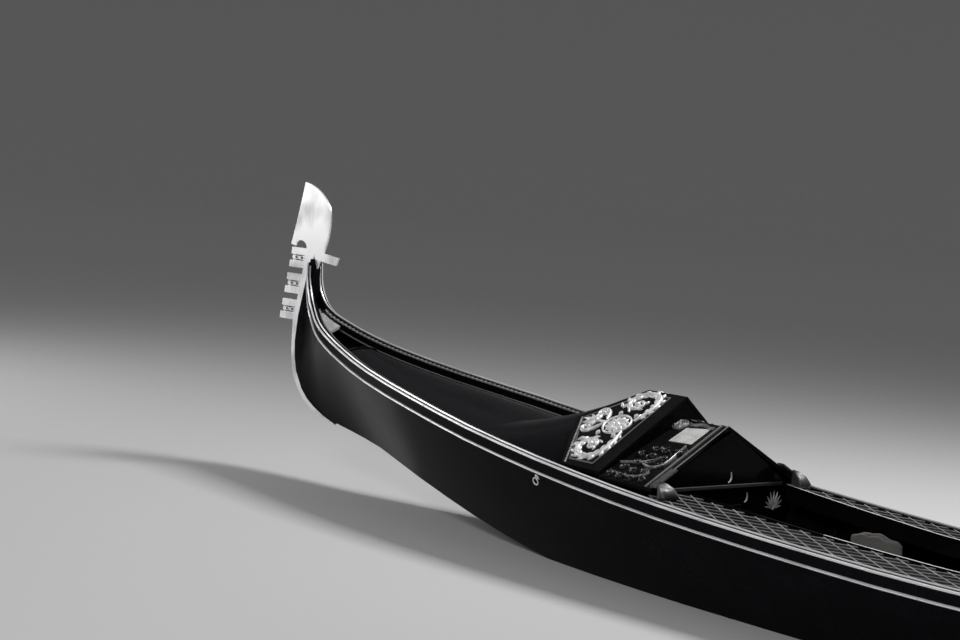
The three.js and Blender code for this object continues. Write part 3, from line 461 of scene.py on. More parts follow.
def make_leather():
    finish = Finish("red leather", (0.16, 0.012, 0.016), 0.42, coat=0.15)
    finish.smudge(14.0, 1.0, (0.36, 0.56), ((0.19, 0.014, 0.018), (0.10, 0.008, 0.010)))
    finish.bump(finish.marks(pebbles, Scale=330.0), 0.5, 0.0009)
    return finish.material


def make_cloth(name, dark, light):
    """Cloth whose warp runs along x and whose weft runs across it."""
    finish = Finish(name, light, 0.9)
    finish.shader.inputs["Sheen Weight"].default_value = 0.3
    warp = finish.marks(streaks, Scale=420.0, Along_X=0.08, Along_Y=1.0, Along_Z=1.0)
    weft = finish.marks(streaks, Scale=420.0, Along_X=1.0, Along_Y=0.08, Along_Z=1.0)
    both = maths(finish.tree, "MAXIMUM", warp, weft)
    finish.vary_color(both, dark, light, 0.4, 0.75)
    finish.bump(both, 0.6, 0.0012)
    return finish.material


def make_walnut():
    finish = Finish("walnut", (0.18, 0.085, 0.035), 0.34, coat=0.2)
    grain = finish.marks(streaks, Scale=38.0, Along_X=1.0, Along_Y=1.0, Along_Z=0.07)
    finish.vary("Roughness", grain, 0.26, 0.48)
    finish.vary_color(grain, (0.075, 0.030, 0.012), (0.27, 0.135, 0.058))
    finish.bump(grain, 0.25, 0.0008)
    return finish.material


def make_ivory():
    finish = Finish("ivory enamel", (0.64, 0.64, 0.62), 0.3)
    finish.smudge(20.0, 1.0, (0.25, 0.5), ((0.66, 0.66, 0.64), (0.46, 0.46, 0.44)))
    return finish.material


silver_leaf = make_silver("silver leaf", (0.93, 0.93, 0.92), (0.55, 0.55, 0.55), 0.35)
roof_silver = make_silver("dull silver", (0.50, 0.50, 0.50), (0.24, 0.24, 0.24), 0.5)
shell_grey = make_silver("shell grey", (0.11, 0.11, 0.11), (0.05, 0.05, 0.05), 0.3)
red_leather = make_leather()
pale_cloth = make_cloth("pale cloth", (0.36, 0.33, 0.28), (0.56, 0.53, 0.46))
# The pillow's cloth: a darker copy of the pale cloth, painted shade for the shade the pillow lies in
shade_darkened_cloth = make_cloth("cloth darkened as painted shade", (0.10, 0.10, 0.095), (0.19, 0.185, 0.175))
walnut = make_walnut()
ivory = make_ivory()
floor.data.materials.append(Finish("pale floor", (0.60, 0.60, 0.60), 0.9).material)
print("other finishes made")

# %% [markdown]
# ## Smooth bodies
#
# The solids are built from flat facets. Lacquer mirrors every facet, so each solid gets a
# finished copy: its points are joined, edges flatter than a set angle are shaded smooth, and a
# narrow bevel catches the light on the sharp ones. The copy stands for its solid.

# %% Helpers for pieces
BODY_OF = {name: body for body, names in frame["record"]["behaviour"]["bodies"].items() for name in names}
SAME_POINT = 2e-5
FLAT_DEGREES = 0.3


def joined_mesh(name):
    """A copy of a solid's mesh with its loose triangles joined and flat ones merged."""
    source = bmesh.new()
    source.from_mesh(nodes[name].data)
    bmesh.ops.remove_doubles(source, verts=source.verts, dist=SAME_POINT)
    flat = math.radians(FLAT_DEGREES)
    bmesh.ops.dissolve_limit(source, angle_limit=flat, verts=source.verts, edges=source.edges)
    data = bpy.data.meshes.new(name + "_finished")
    source.to_mesh(data)
    source.free()
    return data


def set_finish(data, material):
    data.materials.clear()
    data.materials.append(material)


def smooth(data, degrees):
    data.polygons.foreach_set("use_smooth", [True] * len(data.polygons))
    data.set_sharp_from_angle(angle=math.radians(degrees))
    data.update()


def evaluated_mesh(piece):
    graph = bpy.context.evaluated_depsgraph_get()
    return bpy.data.meshes.new_from_object(piece.evaluated_get(graph))


def baked(piece):
    """The piece with its modifiers turned into plain mesh."""
    old = piece.data
    data = evaluated_mesh(piece)
    piece.modifiers.clear()
    piece.data = data
    bpy.data.meshes.remove(old)
    return piece


def register(piece, body="hull", replaces=()):
    if replaces:
        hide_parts(*replaces)
    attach(piece, body)
    print(piece.name, "triangles:", sum(len(face.vertices) - 2 for face in piece.data.polygons))
    return piece


# %% Finished copies
def finished_copy(name, material, bevel, angle=32.0, segments=2):
    data = joined_mesh(name)
    smooth(data, angle)
    set_finish(data, material)
    piece = link_piece(name + "_finished", data)
    if bevel:
        edge = piece.modifiers.new("rounded edges", "BEVEL")
        edge.width = bevel * MM
        edge.segments = segments
        edge.limit_method = "ANGLE"
        edge.angle_limit = math.radians(angle)
        edge.harden_normals = True
        baked(piece)
    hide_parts(name)
    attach(piece, BODY_OF[name])
    return piece


def both_sides(*kinds):
    """The names of port and starboard pairs."""
    return [f"{kind}_{side}" for kind in kinds for side in SIDES]


COPIES = [
    # solids, finish, bevel in mm
    ([f"hull_side_{side}_{part}" for side in SIDES for part in HULL_PARTS], black_lacquer, 0.0),
    ([f"hull_bottom_{part}" for part in HULL_PARTS], bottom_paint, 0.0),
    (["stem_post", "stern_post"], black_lacquer, 2.0),
    (both_sides("gunwale"), black_lacquer, 2.5),
    (both_sides("rub_strip", "edge_strip", "top_strip"), bright_strip, 0.0),
    (["foredeck", "deck_hood", "aft_deck", "deck_front_beam", "hood_riser"], black_lacquer, 1.5),
    (["fore_bulkhead", "aft_bulkhead", "fore_locker_door", "aft_hatch"], black_lacquer, 1.5),
    (both_sides("side_deck", "coaming"), black_lacquer, 1.5),
    (["bulkhead_rail"], rail_grey, 3.0),
    # The breasthook's pale grey is partly paint and partly painted sheen of light on its top
    (["breasthook"], grey_paint_and_sheen, 2.5),
    (["standing_board", "oarlock_block"], black_wood, 2.5),
    (["bow_iron", "stern_iron"], polished_steel, 1.6),
    (both_sides("carved_roof", "hatch_roof"), black_carving, 3.0),
    (["blank_plate"], ivory, 1.0),
    (both_sides("shell_ornament"), shell_grey, 0.0),
    (["main_seat_frame", "side_seat_port", "side_seat_starboard"], black_lacquer, 3.0),
]
finished = {}
for names, material, bevel in COPIES:
    for name in names:
        finished[name] = finished_copy(name, material, bevel)
print("finished copies:", len(finished))

# %% [markdown]
# ## Rope-twist mouldings
#
# Along the inner face of the gunwale run two mouldings carved like a rope of three strands. A rope
# is one star-shaped section swept along a line while it turns, so Geometry Nodes do it: the
# curve's tilt grows with its length, and the star follows.

# %% Helpers for Geometry Nodes
def use_tree(piece, tree, **values):
    """Puts a tree on a line with these inputs; a plain mesh piece takes the line's place."""
    modifier = piece.modifiers.new(tree.name, "NODES")
    modifier.node_group = tree
    for item in tree.interface.items_tree:
        key = item.name.replace(" ", "_")
        if item.item_type == "SOCKET" and item.in_out == "INPUT" and key in values:
            modifier[item.identifier] = values[key]
    name = piece.name
    data = evaluated_mesh(piece)
    bpy.data.objects.remove(piece)
    return link_piece(name, data)


def line_object(name, points):
    """A poly curve through points given in metres."""
    data = bpy.data.curves.new(name, "CURVE")
    data.dimensions = "3D"
    spline = data.splines.new("POLY")
    spline.points.add(len(points) - 1)
    for point, place in zip(spline.points, points):
        point.co = (*place, 1.0)
    return link_piece(name, data)


def resampled(tree, start):
    """The incoming line as points at even steps."""
    inputs = {"Curve": start["Geometry"], "Length": start["Step"]}
    return wire(tree, "GeometryNodeResampleCurve", inputs, mode="LENGTH").outputs[0]


def finish_tree(tree, geometry, start, end):
    """Hands real, smooth-shaded mesh in the tree's finish to the output."""
    real = wire(tree, "GeometryNodeRealizeInstances", {"Geometry": geometry}).outputs[0]
    soft = wire(tree, "GeometryNodeSetShadeSmooth", {"Geometry": real}).outputs[0]
    inputs = {"Geometry": soft, "Material": start["Finish"]}
    tree.links.new(wire(tree, "GeometryNodeSetMaterial", inputs).outputs[0], end)
    return tree


# %% The rope tree
STRANDS = 3
STRAND_HOLLOW = 0.52
RADII_PER_TURN = 11
ROPE_RADIUS = {"upper": 0.0098, "lower": 0.0064}


def make_rope_tree():
    inputs = {"Geometry": None, "Radius": 0.007, "Turn length": 0.075, "Step": 0.007, "Finish": None}
    tree, start, end = new_group("GeometryNodeTree", "rope moulding", inputs, "Geometry")
    along = tree.nodes.new("GeometryNodeSplineParameter").outputs["Length"]
    angle = maths(tree, "MULTIPLY", maths(tree, "DIVIDE", along, start["Turn length"]), math.tau)
    tilted = wire(tree, "GeometryNodeSetCurveTilt", {"Curve": resampled(tree, start), "Tilt": angle})
    hollow = maths(tree, "MULTIPLY", start["Radius"], STRAND_HOLLOW)
    inputs = {"Points": STRANDS, "Outer Radius": start["Radius"], "Inner Radius": hollow}
    star = wire(tree, "GeometryNodeCurveStar", inputs)
    inputs = {"Curve": tilted.outputs[0], "Profile Curve": star.outputs[0], "Fill Caps": True}
    swept = wire(tree, "GeometryNodeCurveToMesh", inputs)
    return finish_tree(tree, swept.outputs[0], start, end)


def section_middle(section):
    return (section.min(0) + section.max(0)) / 2


rope_tree = make_rope_tree()
for level, radius in ROPE_RADIUS.items():
    for side in SIDES:
        node = f"rope_moulding_{level}_{side}"
        path = section_table(node, section_middle)
        rope = line_object(f"rope_{level}_{side}", path)
        turn = radius * RADII_PER_TURN
        rope = use_tree(rope, rope_tree, Radius=radius, Turn_length=turn, Finish=rope_metal)
        register(rope, replaces=[node])

# %% [markdown]
# ## Panels that carry ornament
#
# The carved plates lie on slopes. A face turns a flat drawing into places on a plane: u and v lie
# in it, and h stands out of it. On a roof slope u runs forward from the plate's aft edge and v
# runs down from the ridge. Both roofs swing forward to starboard by the same small skew.

# %% Faces: flat drawings laid on planes
ROOF_SKEW = 0.14
# Each roof's aft end, the heights of its ridge and its eaves, and how far it reaches to each side
ROOFS = {
    "carved_roof": (1.525, 0.945, 0.575, {"port": 0.652, "starboard": 0.500}),
    "hatch_roof": (1.200, 0.828, 0.548, {"port": 0.668, "starboard": 0.520}),
}


class Face:
    """A plane that carries drawings; its normal points to the given side."""

    def __init__(self, origin, u_axis, v_axis, toward):
        self.origin = Vector(origin)
        self.u_axis = Vector(u_axis).normalized()
        self.v_axis = Vector(v_axis).normalized()
        normal = self.u_axis.cross(self.v_axis).normalized()
        self.normal = normal if normal.dot(Vector(toward)) > 0 else -normal

    def at(self, u, v, h=0.0):
        return self.origin + self.u_axis * u + self.v_axis * v + self.normal * h

    def height(self, point):
        return (Vector(point) - self.origin).dot(self.normal)


class Slope(Face):
    """One side of a roof, from its ridge down to its eave."""

    def __init__(self, roof, side):
        back, high, low, reaches = ROOFS[roof]
        reach = SIDES[side] * reaches[side]
        ridge = Vector((back, 0.0, high))
        eave = Vector((back - ROOF_SKEW * reach, reach, low))
        super().__init__(ridge, (1, 0, 0), eave - ridge, (0, 0, 1))
        self.length = (eave - ridge).length


def level_face(height):
    """A level plane whose u and v are the boat's x and y."""
    return Face((0, 0, height), (1, 0, 0), (0, 1, 0), (0, 0, 1))


SLOPES = {f"{roof}_{side}": Slope(roof, side) for roof in ROOFS for side in SIDES}
for name, slope in SLOPES.items():
    rise = max(slope.height(point) for point in node_points(name))
    print(name, "length", round(slope.length, 3), "m; plate rises", round(1000 * rise, 1), "mm")

# %% [markdown]
# ## Raised lines in their own colour
#
# The frame line on each carved plate, the rims of the rear roof and the lattice of the side
# decks belong to the solids, but they are painted pale on black. A second material goes on those
# faces that lie above the plate's own surface. The coamings carry a bright strip on their top.

# %% A second finish on chosen faces
RAISED_LINE = 0.0015
LATTICE_HEIGHT = 0.0046
TOP_NORMAL_Z = 0.6
# The bright strip on a coaming ends here; the starboard one has it along its whole length
COAMING_STRIP_FRONT = {"port": 0.12, "starboard": 9.0}


def second_finish(piece, material, chosen):
    """Puts a material on the faces whose middle and normal pass a test."""
    piece.data.materials.append(material)
    slot = len(piece.data.materials) - 1
    count = 0
    for face in piece.data.polygons:
        if chosen(face.center, face.normal):
            face.material_index = slot
            count += 1
    print(piece.name, "has", count, "faces in", material.name)


def cut_across(piece, x):
    """Cuts the mesh at a distance x, so that a finish can end there."""
    mesh = bmesh.new()
    mesh.from_mesh(piece.data)
    everything = mesh.verts[:] + mesh.edges[:] + mesh.faces[:]
    bmesh.ops.bisect_plane(mesh, geom=everything, plane_co=(x, 0, 0), plane_no=(1, 0, 0))
    mesh.to_mesh(piece.data)
    mesh.free()


cut_across(finished["coaming_port"], COAMING_STRIP_FRONT["port"])
for name, slope in SLOPES.items():
    second_finish(finished[name], line_grey, lambda place, normal: slope.height(place) > RAISED_LINE)
for side, front in COAMING_STRIP_FRONT.items():
    second_finish(finished[f"coaming_{side}"], bright_strip,
                  lambda place, normal: normal.z > TOP_NORMAL_Z and place.x < front)
    second_finish(finished[f"side_deck_{side}"], lattice_paint,
                  lambda place, normal: place.z > sheer_point(side, place.x).z - LATTICE_HEIGHT)

# %% [markdown]
# ## Carved forms
#
# Every leaf, scroll and rim is one idea: a crowned section swept along a line on a face, wide in
# the middle and fine at the ends. A list of points and faces gathers them, so that all the
# carving of a plate becomes one mesh.

# %% Gathering points and faces
RIB = [(-1.0, -0.25), (-0.96, 0.35), (-0.6, 0.86), (0.0, 1.0), (0.6, 0.86), (0.96, 0.35), (1.0, -0.25)]
VEINED = [(-1.0, -0.25), (-0.96, 0.3), (-0.6, 0.9), (-0.16, 1.0), (0.0, 0.62), (0.16, 1.0), (0.6, 0.9),
          (0.96, 0.3), (1.0, -0.25)]


class Shapes:
    def __init__(self):
        self.points = []
        self.faces = []

    def add(self, points, faces):
        start = len(self.points)
        self.points += [tuple(point) for point in points]
        self.faces += [tuple(start + i for i in face) for face in faces]

    def piece(self, name, material, body="hull", slot=None, angle=50, replaces=()):
        data = bpy.data.meshes.new(name)
        data.from_pydata(self.points, [], self.faces)
        outward = bmesh.new()
        outward.from_mesh(data)
        bmesh.ops.recalc_face_normals(outward, faces=outward.faces)
        outward.to_mesh(data)
        outward.free()
        smooth(data, angle)
        set_finish(data, material)
        return register(link_piece(name, data), body, replaces)


def sweep_rings(shapes, rings, closed=False):
    """Joins equal rings of points; an open row gets both ends closed."""
    count = len(rings[0])
    faces = []
    last = len(rings) if closed else len(rings) - 1
    for i in range(last):
        ahead = (i + 1) % len(rings)
        for j in range(count):
            beside = (j + 1) % count
            faces.append((i * count + j, i * count + beside, ahead * count + beside, ahead * count + j))
    if not closed:
        faces.append(tuple(range(count)))
        faces.append(tuple(reversed(range((len(rings) - 1) * count, len(rings) * count))))
    shapes.add([point for ring in rings for point in ring], faces)


def ribbon(shapes, surface, path, widths, heights, section=RIB):
    """A crowned band along a path of (u, v), with its own half width and height at each point."""
    path = np.array(path)
    heading = np.gradient(path, axis=0)
    heading /= np.linalg.norm(heading, axis=1)[:, None] + 1e-9
    side = np.stack([-heading[:, 1], heading[:, 0]], axis=1)
    widths = np.broadcast_to(widths, len(path))
    heights = np.broadcast_to(heights, len(path))
    rings = []
    for (u, v), (su, sv), half, height in zip(path, side, widths, heights):
        ring = [surface.at(u + su * half * s, v + sv * half * s, height * h) for s, h in section]
        rings.append(ring)
    sweep_rings(shapes, rings)


def taper(count, start=0.15, end=0.08, power=0.8):
    """Widths that swell from a start to full size and fall to an end."""
    t = np.linspace(0, 1, count)
    swell = np.sin(np.pi * t ** power) ** 0.75
    return np.maximum(swell, start * (1 - t) + end * t)


# %% Leaf, spiral, dome and soft line
LOBE_DEPTH = 0.28
# Each ring of a dome or lozenge: its share of the radius and of the height
DOME_RINGS = ((1.0, -0.25), (0.97, 0.3), (0.75, 0.75), (0.4, 0.97), (0.06, 1.0))
LOZENGE_RINGS = ((1.0, -0.25), (0.96, 0.5), (0.72, 1.0), (0.1, 1.15))


def leaf(shapes, surface, base, angle, length, width, height, curl=0.0, lobes=0, steps=9):
    """A leaf that leaves its base at an angle and turns by curl towards its tip."""
    t = np.linspace(0, 1, steps)
    turn = math.radians(angle) + math.radians(curl) * t
    stride = length / (steps - 1)
    u = base[0] + np.concatenate([[0], np.cumsum(np.cos(turn[:-1]) * stride)])
    v = base[1] + np.concatenate([[0], np.cumsum(np.sin(turn[:-1]) * stride)])
    edge = 1 - LOBE_DEPTH * np.abs(np.sin(lobes * np.pi * t))
    swell = taper(steps)
    path = np.stack([u, v], axis=1)
    ribbon(shapes, surface, path, width / 2 * swell * edge, height * (0.35 + 0.65 * swell), VEINED)


def spiral(centre, radius, end_radius, start, sweep, steps=26):
    """Points of a spiral from its outer end inwards; angles in degrees."""
    t = np.linspace(0, 1, steps)
    angle = np.radians(start + sweep * t)
    r = radius * (end_radius / radius) ** t
    return np.stack([centre[0] + r * np.cos(angle), centre[1] + r * np.sin(angle)], axis=1)


def dome(shapes, surface, centre, radius, height, sides=14):
    rings = []
    for share, level in DOME_RINGS:
        ring = []
        for k in range(sides):
            angle = math.tau * k / sides
            u = centre[0] + radius * share * math.cos(angle)
            v = centre[1] + radius * share * math.sin(angle)
            ring.append(surface.at(u, v, height * level))
        rings.append(ring)
    sweep_rings(shapes, rings)


def lozenge(shapes, surface, centre, long_half, short_half, height):
    corners = [(0, long_half), (short_half, 0), (0, -long_half), (-short_half, 0)]
    rings = []
    for share, level in LOZENGE_RINGS:
        ring = [surface.at(centre[0] + u * share, centre[1] + v * share, height * level) for u, v in corners]
        rings.append(ring)
    sweep_rings(shapes, rings)


def rosette(shapes, surface, centre, radius, height, petals=10):
    for k in range(petals):
        angle = 360 * k / petals
        base = (centre[0] + 0.26 * radius * math.cos(math.radians(angle)),
                centre[1] + 0.26 * radius * math.sin(math.radians(angle)))
        leaf(shapes, surface, base, angle, radius * 0.76, radius * 0.56, height, steps=7)
    dome(shapes, surface, centre, radius * 0.27, height * 1.35)


def soft_line(points, steps=40):
    """A soft curve through a few points, by repeated corner cutting, evenly spaced."""
    line = np.array(points, dtype=float)
    for _ in range(4):
        near = line[:-1] * 0.75 + line[1:] * 0.25
        far = line[:-1] * 0.25 + line[1:] * 0.75
        cut = np.stack([near, far], axis=1).reshape(-1, line.shape[1])
        line = np.concatenate([line[:1], cut, line[-1:]])
    stride = np.linalg.norm(np.diff(line, axis=0), axis=1)
    run = np.concatenate([[0], np.cumsum(stride)])
    places = np.linspace(0, run[-1], steps)
    return np.stack([np.interp(places, run, column) for column in line.T], axis=1)

# %% [markdown]
# ## Silver carving of the hood
#
# The hood's two slopes carry silvered carving on black. The design here is a plain traditional
# one: a rosette in a ring, a large leafy scroll on either side that mirrors the other, smaller
# counter scrolls, a palmette towards the point, and a bud in each corner.

# %% Carving of one slope
RELIEF = 0.012
# The scrolls are drawn as (u, distance from the middle) for a slope of this length
DRAWN_LENGTH = 0.75
MIDDLE_SHARE = 0.47
GREAT_SCROLL = [(0.150, 0.055), (0.128, 0.120), (0.122, 0.200), (0.140, 0.285), (0.205, 0.318),
                (0.275, 0.300), (0.318, 0.245), (0.312, 0.180), (0.262, 0.150), (0.215, 0.172),
                (0.205, 0.215), (0.235, 0.240), (0.262, 0.222), (0.252, 0.200)]
COUNTER_SCROLL = [(0.330, 0.020), (0.352, 0.070), (0.392, 0.112), (0.432, 0.098), (0.436, 0.058),
                  (0.404, 0.046), (0.392, 0.070)]
CORNER_BUDS = ((0.320, 0.215), (0.325, 0.160))
LOZENGE_PLACES = ((0.172, 0.098), (0.292, 0.098))
HEART_U = 0.232
PALMETTE_U = 0.395


def leafy_scroll(shapes, surface, path, body_width, leaf_length, sides=(1,), spacing=2):
    """A scroll with a swelling stem and leaves along one or both of its sides."""
    count = len(path)
    swell = taper(count, 0.45, 0.3, 0.7)
    ribbon(shapes, surface, path, body_width / 2 * swell, RELIEF * (0.7 + 0.5 * swell), VEINED)
    heading = np.gradient(path, axis=0)
    for i in range(2, count - 4, spacing):
        along = math.degrees(math.atan2(heading[i][1], heading[i][0]))
        size = leaf_length * (0.5 + 0.6 * swell[i])
        for side in sides:
            leaf(shapes, surface, path[i], along + side * 58, size, size * 0.5, RELIEF * 0.9, -side * 52, 3)
    dome(shapes, surface, path[-1], body_width * 0.5, RELIEF * 1.5, 12)


def half_carving(shapes, slope, middle, scale, sign):
    """The scrolls, buds and lozenges on one hand of the middle."""
    great = soft_line([(u, middle + sign * v * scale) for u, v in GREAT_SCROLL], 44)
    leafy_scroll(shapes, slope, great, 0.036 * scale, 0.050 * scale, (sign, -sign), 3)
    counter = soft_line([(u, middle + sign * v * scale) for u, v in COUNTER_SCROLL], 26)
    leafy_scroll(shapes, slope, counter, 0.024 * scale, 0.032 * scale, (-sign,), 3)
    for u, v in CORNER_BUDS:
        leaf(shapes, slope, (u, middle + sign * v * scale), sign * 20, 0.055, 0.026, RELIEF, sign * 50, 3)
    for u, v in LOZENGE_PLACES:
        lozenge(shapes, slope, (u, middle + sign * v * scale), 0.020, 0.013, RELIEF)


def hood_carving(side):
    slope = SLOPES[f"carved_roof_{side}"]
    shapes = Shapes()
    middle = slope.length * MIDDLE_SHARE
    scale = slope.length / DRAWN_LENGTH
    heart = (HEART_U, middle)
    ring = spiral(heart, 0.084 * scale, 0.084 * scale, 0, 360, 41)
    ribbon(shapes, slope, ring, 0.006, RELIEF * 0.9)
    rosette(shapes, slope, heart, 0.071 * scale, RELIEF, 12)
    for sign in (-1, 1):
        half_carving(shapes, slope, middle, scale, sign)
    root = (PALMETTE_U, middle)
    for angle in range(-75, 76, 25):
        reach = 0.098 - 0.0005 * abs(angle)
        leaf(shapes, slope, root, angle, reach * scale, 0.034 * scale, RELIEF * 1.1, angle * 0.5, 3)
    dome(shapes, slope, root, 0.018, RELIEF * 1.6)
    stem = [(0.322, middle), (0.35, middle), root]
    ribbon(shapes, slope, stem, [0.012, 0.007, 0.010], RELIEF)
    shapes.piece(f"hood_carving_{side}", silver_leaf, slot="silver_carving")


for side in SIDES:
    hood_carving(side)

# %% [markdown]
# ## Dark foliage of the rear roof
#
# Behind the silver plates the rear roof is carved all over with small leafy scrolls, left black.
# They repeat on a grid with a seeded turn for each, and leave room for the blank plate.

# %% Foliage
FOLIAGE_STEP = 0.079
FOLIAGE_SEED = 7
FOLIAGE_COLUMNS = 4
FOLIAGE_START = 0.082
FOLIAGE_LEAN = 0.04
FOLIAGE_END = 0.285
EDGE_MARGIN = 0.045


def over_blank_plate(place):
    low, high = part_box("blank_plate")
    inside_x = low[0] - EDGE_MARGIN < place.x < high[0] + EDGE_MARGIN
    return inside_x and low[1] - EDGE_MARGIN < place.y < high[1] + EDGE_MARGIN


def foliage(side):
    slope = SLOPES[f"hatch_roof_{side}"]
    shapes = Shapes()
    random = np.random.default_rng(FOLIAGE_SEED)
    for row in range(int(slope.length // FOLIAGE_STEP)):
        v = FOLIAGE_STEP * (row + 0.55)
        aft = FOLIAGE_START - FOLIAGE_LEAN * v / slope.length
        for column in range(FOLIAGE_COLUMNS):
            u = aft + FOLIAGE_STEP * (column + 0.5 * (row % 2))
            turn = random.uniform(0, 360)
            outside = u > FOLIAGE_END or v > slope.length - EDGE_MARGIN
            if outside or over_blank_plate(slope.at(u, v)):
                continue
            hand = 1 if (row + column) % 2 else -1
            curl = spiral((u, v), 0.037, 0.010, turn, hand * 400, 18)
            leafy_scroll(shapes, slope, curl, 0.013, 0.026, (hand,))
    shapes.piece(f"roof_foliage_{side}", dark_foliage, slot="black_lacquer")


for side in SIDES:
    foliage(side)

# %% [markdown]
# ## Light lines and a boss on the rear roof
#
# A pale line swings along the lower half of each slope and follows the aft edge upward. At the
# ridge sits a round boss of rings with a wavy ribbon behind it.

# %% Lines and boss
# The lines are drawn as (u, v) for a slope of this length
LINES_LENGTH = 0.724
LINE_RELIEF = 0.013
LOW_SWAG = [(0.190, 0.515), (0.121, 0.541), (0.068, 0.532), (0.046, 0.507), (0.040, 0.470),
            (0.046, 0.418), (0.062, 0.333), (0.072, 0.275)]
HIGH_SWAG = [(0.312, 0.550), (0.262, 0.532), (0.198, 0.515), (0.139, 0.481), (0.118, 0.436)]
CURL = [(0.300, 0.640), (0.220, 0.662), (0.130, 0.664), (0.072, 0.640), (0.054, 0.596), (0.076, 0.566),
        (0.104, 0.584)]
BOSS = (0.296, 0.076)


def roof_lines(side):
    slope = SLOPES[f"hatch_roof_{side}"]
    scale = slope.length / LINES_LENGTH
    shapes = Shapes()
    for line, half in ((LOW_SWAG, 0.0050), (HIGH_SWAG, 0.0034), (CURL, 0.0030)):
        path = soft_line([(u, v * scale) for u, v in line])
        ribbon(shapes, slope, path, half * taper(len(path), 0.5, 0.4, 1.0), LINE_RELIEF)
    for radius in (0.046, 0.033, 0.021):
        ribbon(shapes, slope, spiral(BOSS, radius, radius, 0, 360, 29), 0.0032, LINE_RELIEF)
    dome(shapes, slope, BOSS, 0.011, 0.017)
    for offset in (-0.008, 0.006):
        wave = [(0.248 - 0.185 * t, 0.050 + offset + 0.010 * math.sin(9 * t)) for t in np.linspace(0, 1, 24)]
        ribbon(shapes, slope, wave, 0.0030 * taper(24, 0.5, 0.2, 0.6), 0.011)
    shapes.piece(f"roof_lines_{side}", roof_silver, slot="silver_carving")


for side in SIDES:
    roof_lines(side)

# %% [markdown]
# ## Beads and nails
#
# A row of small beads edges the forward side of each carved plate, and nails hold the bright
# strips along the gunwales. Each is one small ball, half sunk, repeated at even steps on a line.

# %% The tree that sets domes along a line
def make_dome_row_tree():
    inputs = {"Geometry": None, "Step": 0.05, "Radius": 0.004, "Finish": None}
    tree, start, end = new_group("GeometryNodeTree", "row of domes", inputs, "Geometry")
    ball = wire(tree, "GeometryNodeMeshIcoSphere", {"Radius": start["Radius"], "Subdivisions": 2})
    inputs = {"Points": resampled(tree, start), "Instance": ball.outputs[0]}
    placed = wire(tree, "GeometryNodeInstanceOnPoints", inputs)
    return finish_tree(tree, placed.outputs[0], start, end)


# %% Beads and nails in place
# The row of beads starts and ends at these u; its lower end lies a gap above the eave
BEAD_TOP_U = 0.512
BEAD_BOTTOM_U = 0.282
BEAD_EAVE_GAP = 0.016
BEAD_LIFT = 0.001
BEAD_STEP = 0.017
BEAD_RADIUS = 0.0058
NAIL_STEP = {"rub": 0.26, "edge": 0.34}
NAIL_RADIUS = 0.0045
NAIL_MARGIN = 0.35
dome_row_tree = make_dome_row_tree()


def dome_row(name, points, step, radius, material):
    row = use_tree(line_object(name, points), dome_row_tree, Step=step, Radius=radius, Finish=material)
    register(row)


def outermost(section):
    return section[np.argmax(np.abs(section[:, 1]))]


def strip_line(node):
    """The outermost line of a bright strip, without its two ends."""
    table = section_table(node, outermost)
    x = table[:, 0]
    return table[(x > x.min() + NAIL_MARGIN) & (x < x.max() - NAIL_MARGIN)]


for side in SIDES:
    slope = SLOPES[f"carved_roof_{side}"]
    top = slope.at(BEAD_TOP_U, MIDDLE_SHARE * slope.length, BEAD_LIFT)
    bottom = slope.at(BEAD_BOTTOM_U, slope.length - BEAD_EAVE_GAP, BEAD_LIFT)
    dome_row(f"plate_beads_{side}", [top, bottom], BEAD_STEP, BEAD_RADIUS, roof_silver)
for side in SIDES:
    for kind, step in NAIL_STEP.items():
        line = strip_line(f"{kind}_strip_{side}")
        dome_row(f"{kind}_nails_{side}", line, step, NAIL_RADIUS, bright_strip)

# %% [markdown]
# ## Ribs and planks inside the well
#
# Light ribs stiffen the thin planks. Each rib follows the inner face of the side, from the
# floorboards up to the side deck, so its path is read from the side's own solid. The floor is
# six boards with open seams between them.

# %% Ribs
RIB_FIRST = -1.52
RIB_LIMIT = 0.95
RIB_STEP = 0.30
RIB_HALF = 0.011
RIB_DEPTH = 0.020
RIB_TUCK = 0.0015
RIB_FOOT = -0.026
RIB_HEAD_GAP = 0.004


def inner_levels(side):
    """Sections of the side's inner face in the well: for each station, points from low to high."""
    found = {}
    for x, section in sections(node_points(f"hull_side_{side}_mid")):
        order = np.unique(np.round(section, 4), axis=0)
        order = order[np.argsort(np.abs(order[:, 1]))]
        levels = {}
        for point in order:
            levels.setdefault(round(point[2], 4), point)
        found[x] = np.array([levels[level] for level in sorted(levels)])
    return found


def inner_path(stations, x):
    """The inner face's line up the side at x, between the stations on either hand."""
    keys = sorted(stations)
    i = min(max(np.searchsorted(keys, x), 1), len(keys) - 1)
    t = (x - keys[i - 1]) / (keys[i] - keys[i - 1])
    return stations[keys[i - 1]] * (1 - t) + stations[keys[i]] * t


def add_rib(shapes, path, sign):
    rings = []
    for x, y, z in path:
        outer = y - sign * RIB_TUCK
        soft = y - sign * RIB_DEPTH * 0.7
        inner = y - sign * RIB_DEPTH
        rings.append([(x - RIB_HALF, outer, z), (x + RIB_HALF, outer, z), (x + RIB_HALF, soft, z),
                      (x + RIB_HALF * 0.6, inner, z), (x - RIB_HALF * 0.6, inner, z),
                      (x - RIB_HALF, soft, z)])
    sweep_rings(shapes, rings)


def ribs(side):
    stations = inner_levels(side)
    shapes = Shapes()
    for x in np.arange(RIB_FIRST, RIB_LIMIT, RIB_STEP):
        line = inner_path(stations, x)
        levels = np.linspace(RIB_FOOT, line[-1][2] - RIB_HEAD_GAP, 6)
        path = [(x, np.interp(z, line[:, 2], line[:, 1]), z) for z in levels]
        add_rib(shapes, path, SIDES[side])
    shapes.piece(f"ribs_{side}", black_wood, slot="black_wood")


for side in SIDES:
    ribs(side)

# %% Floor planks
PLANK_COUNT = 6
PLANK_STATIONS = 14
SEAM = 0.006
PLANK_CUT = 0.003
END_GAP = 0.002
PLANK_SINK = 0.001


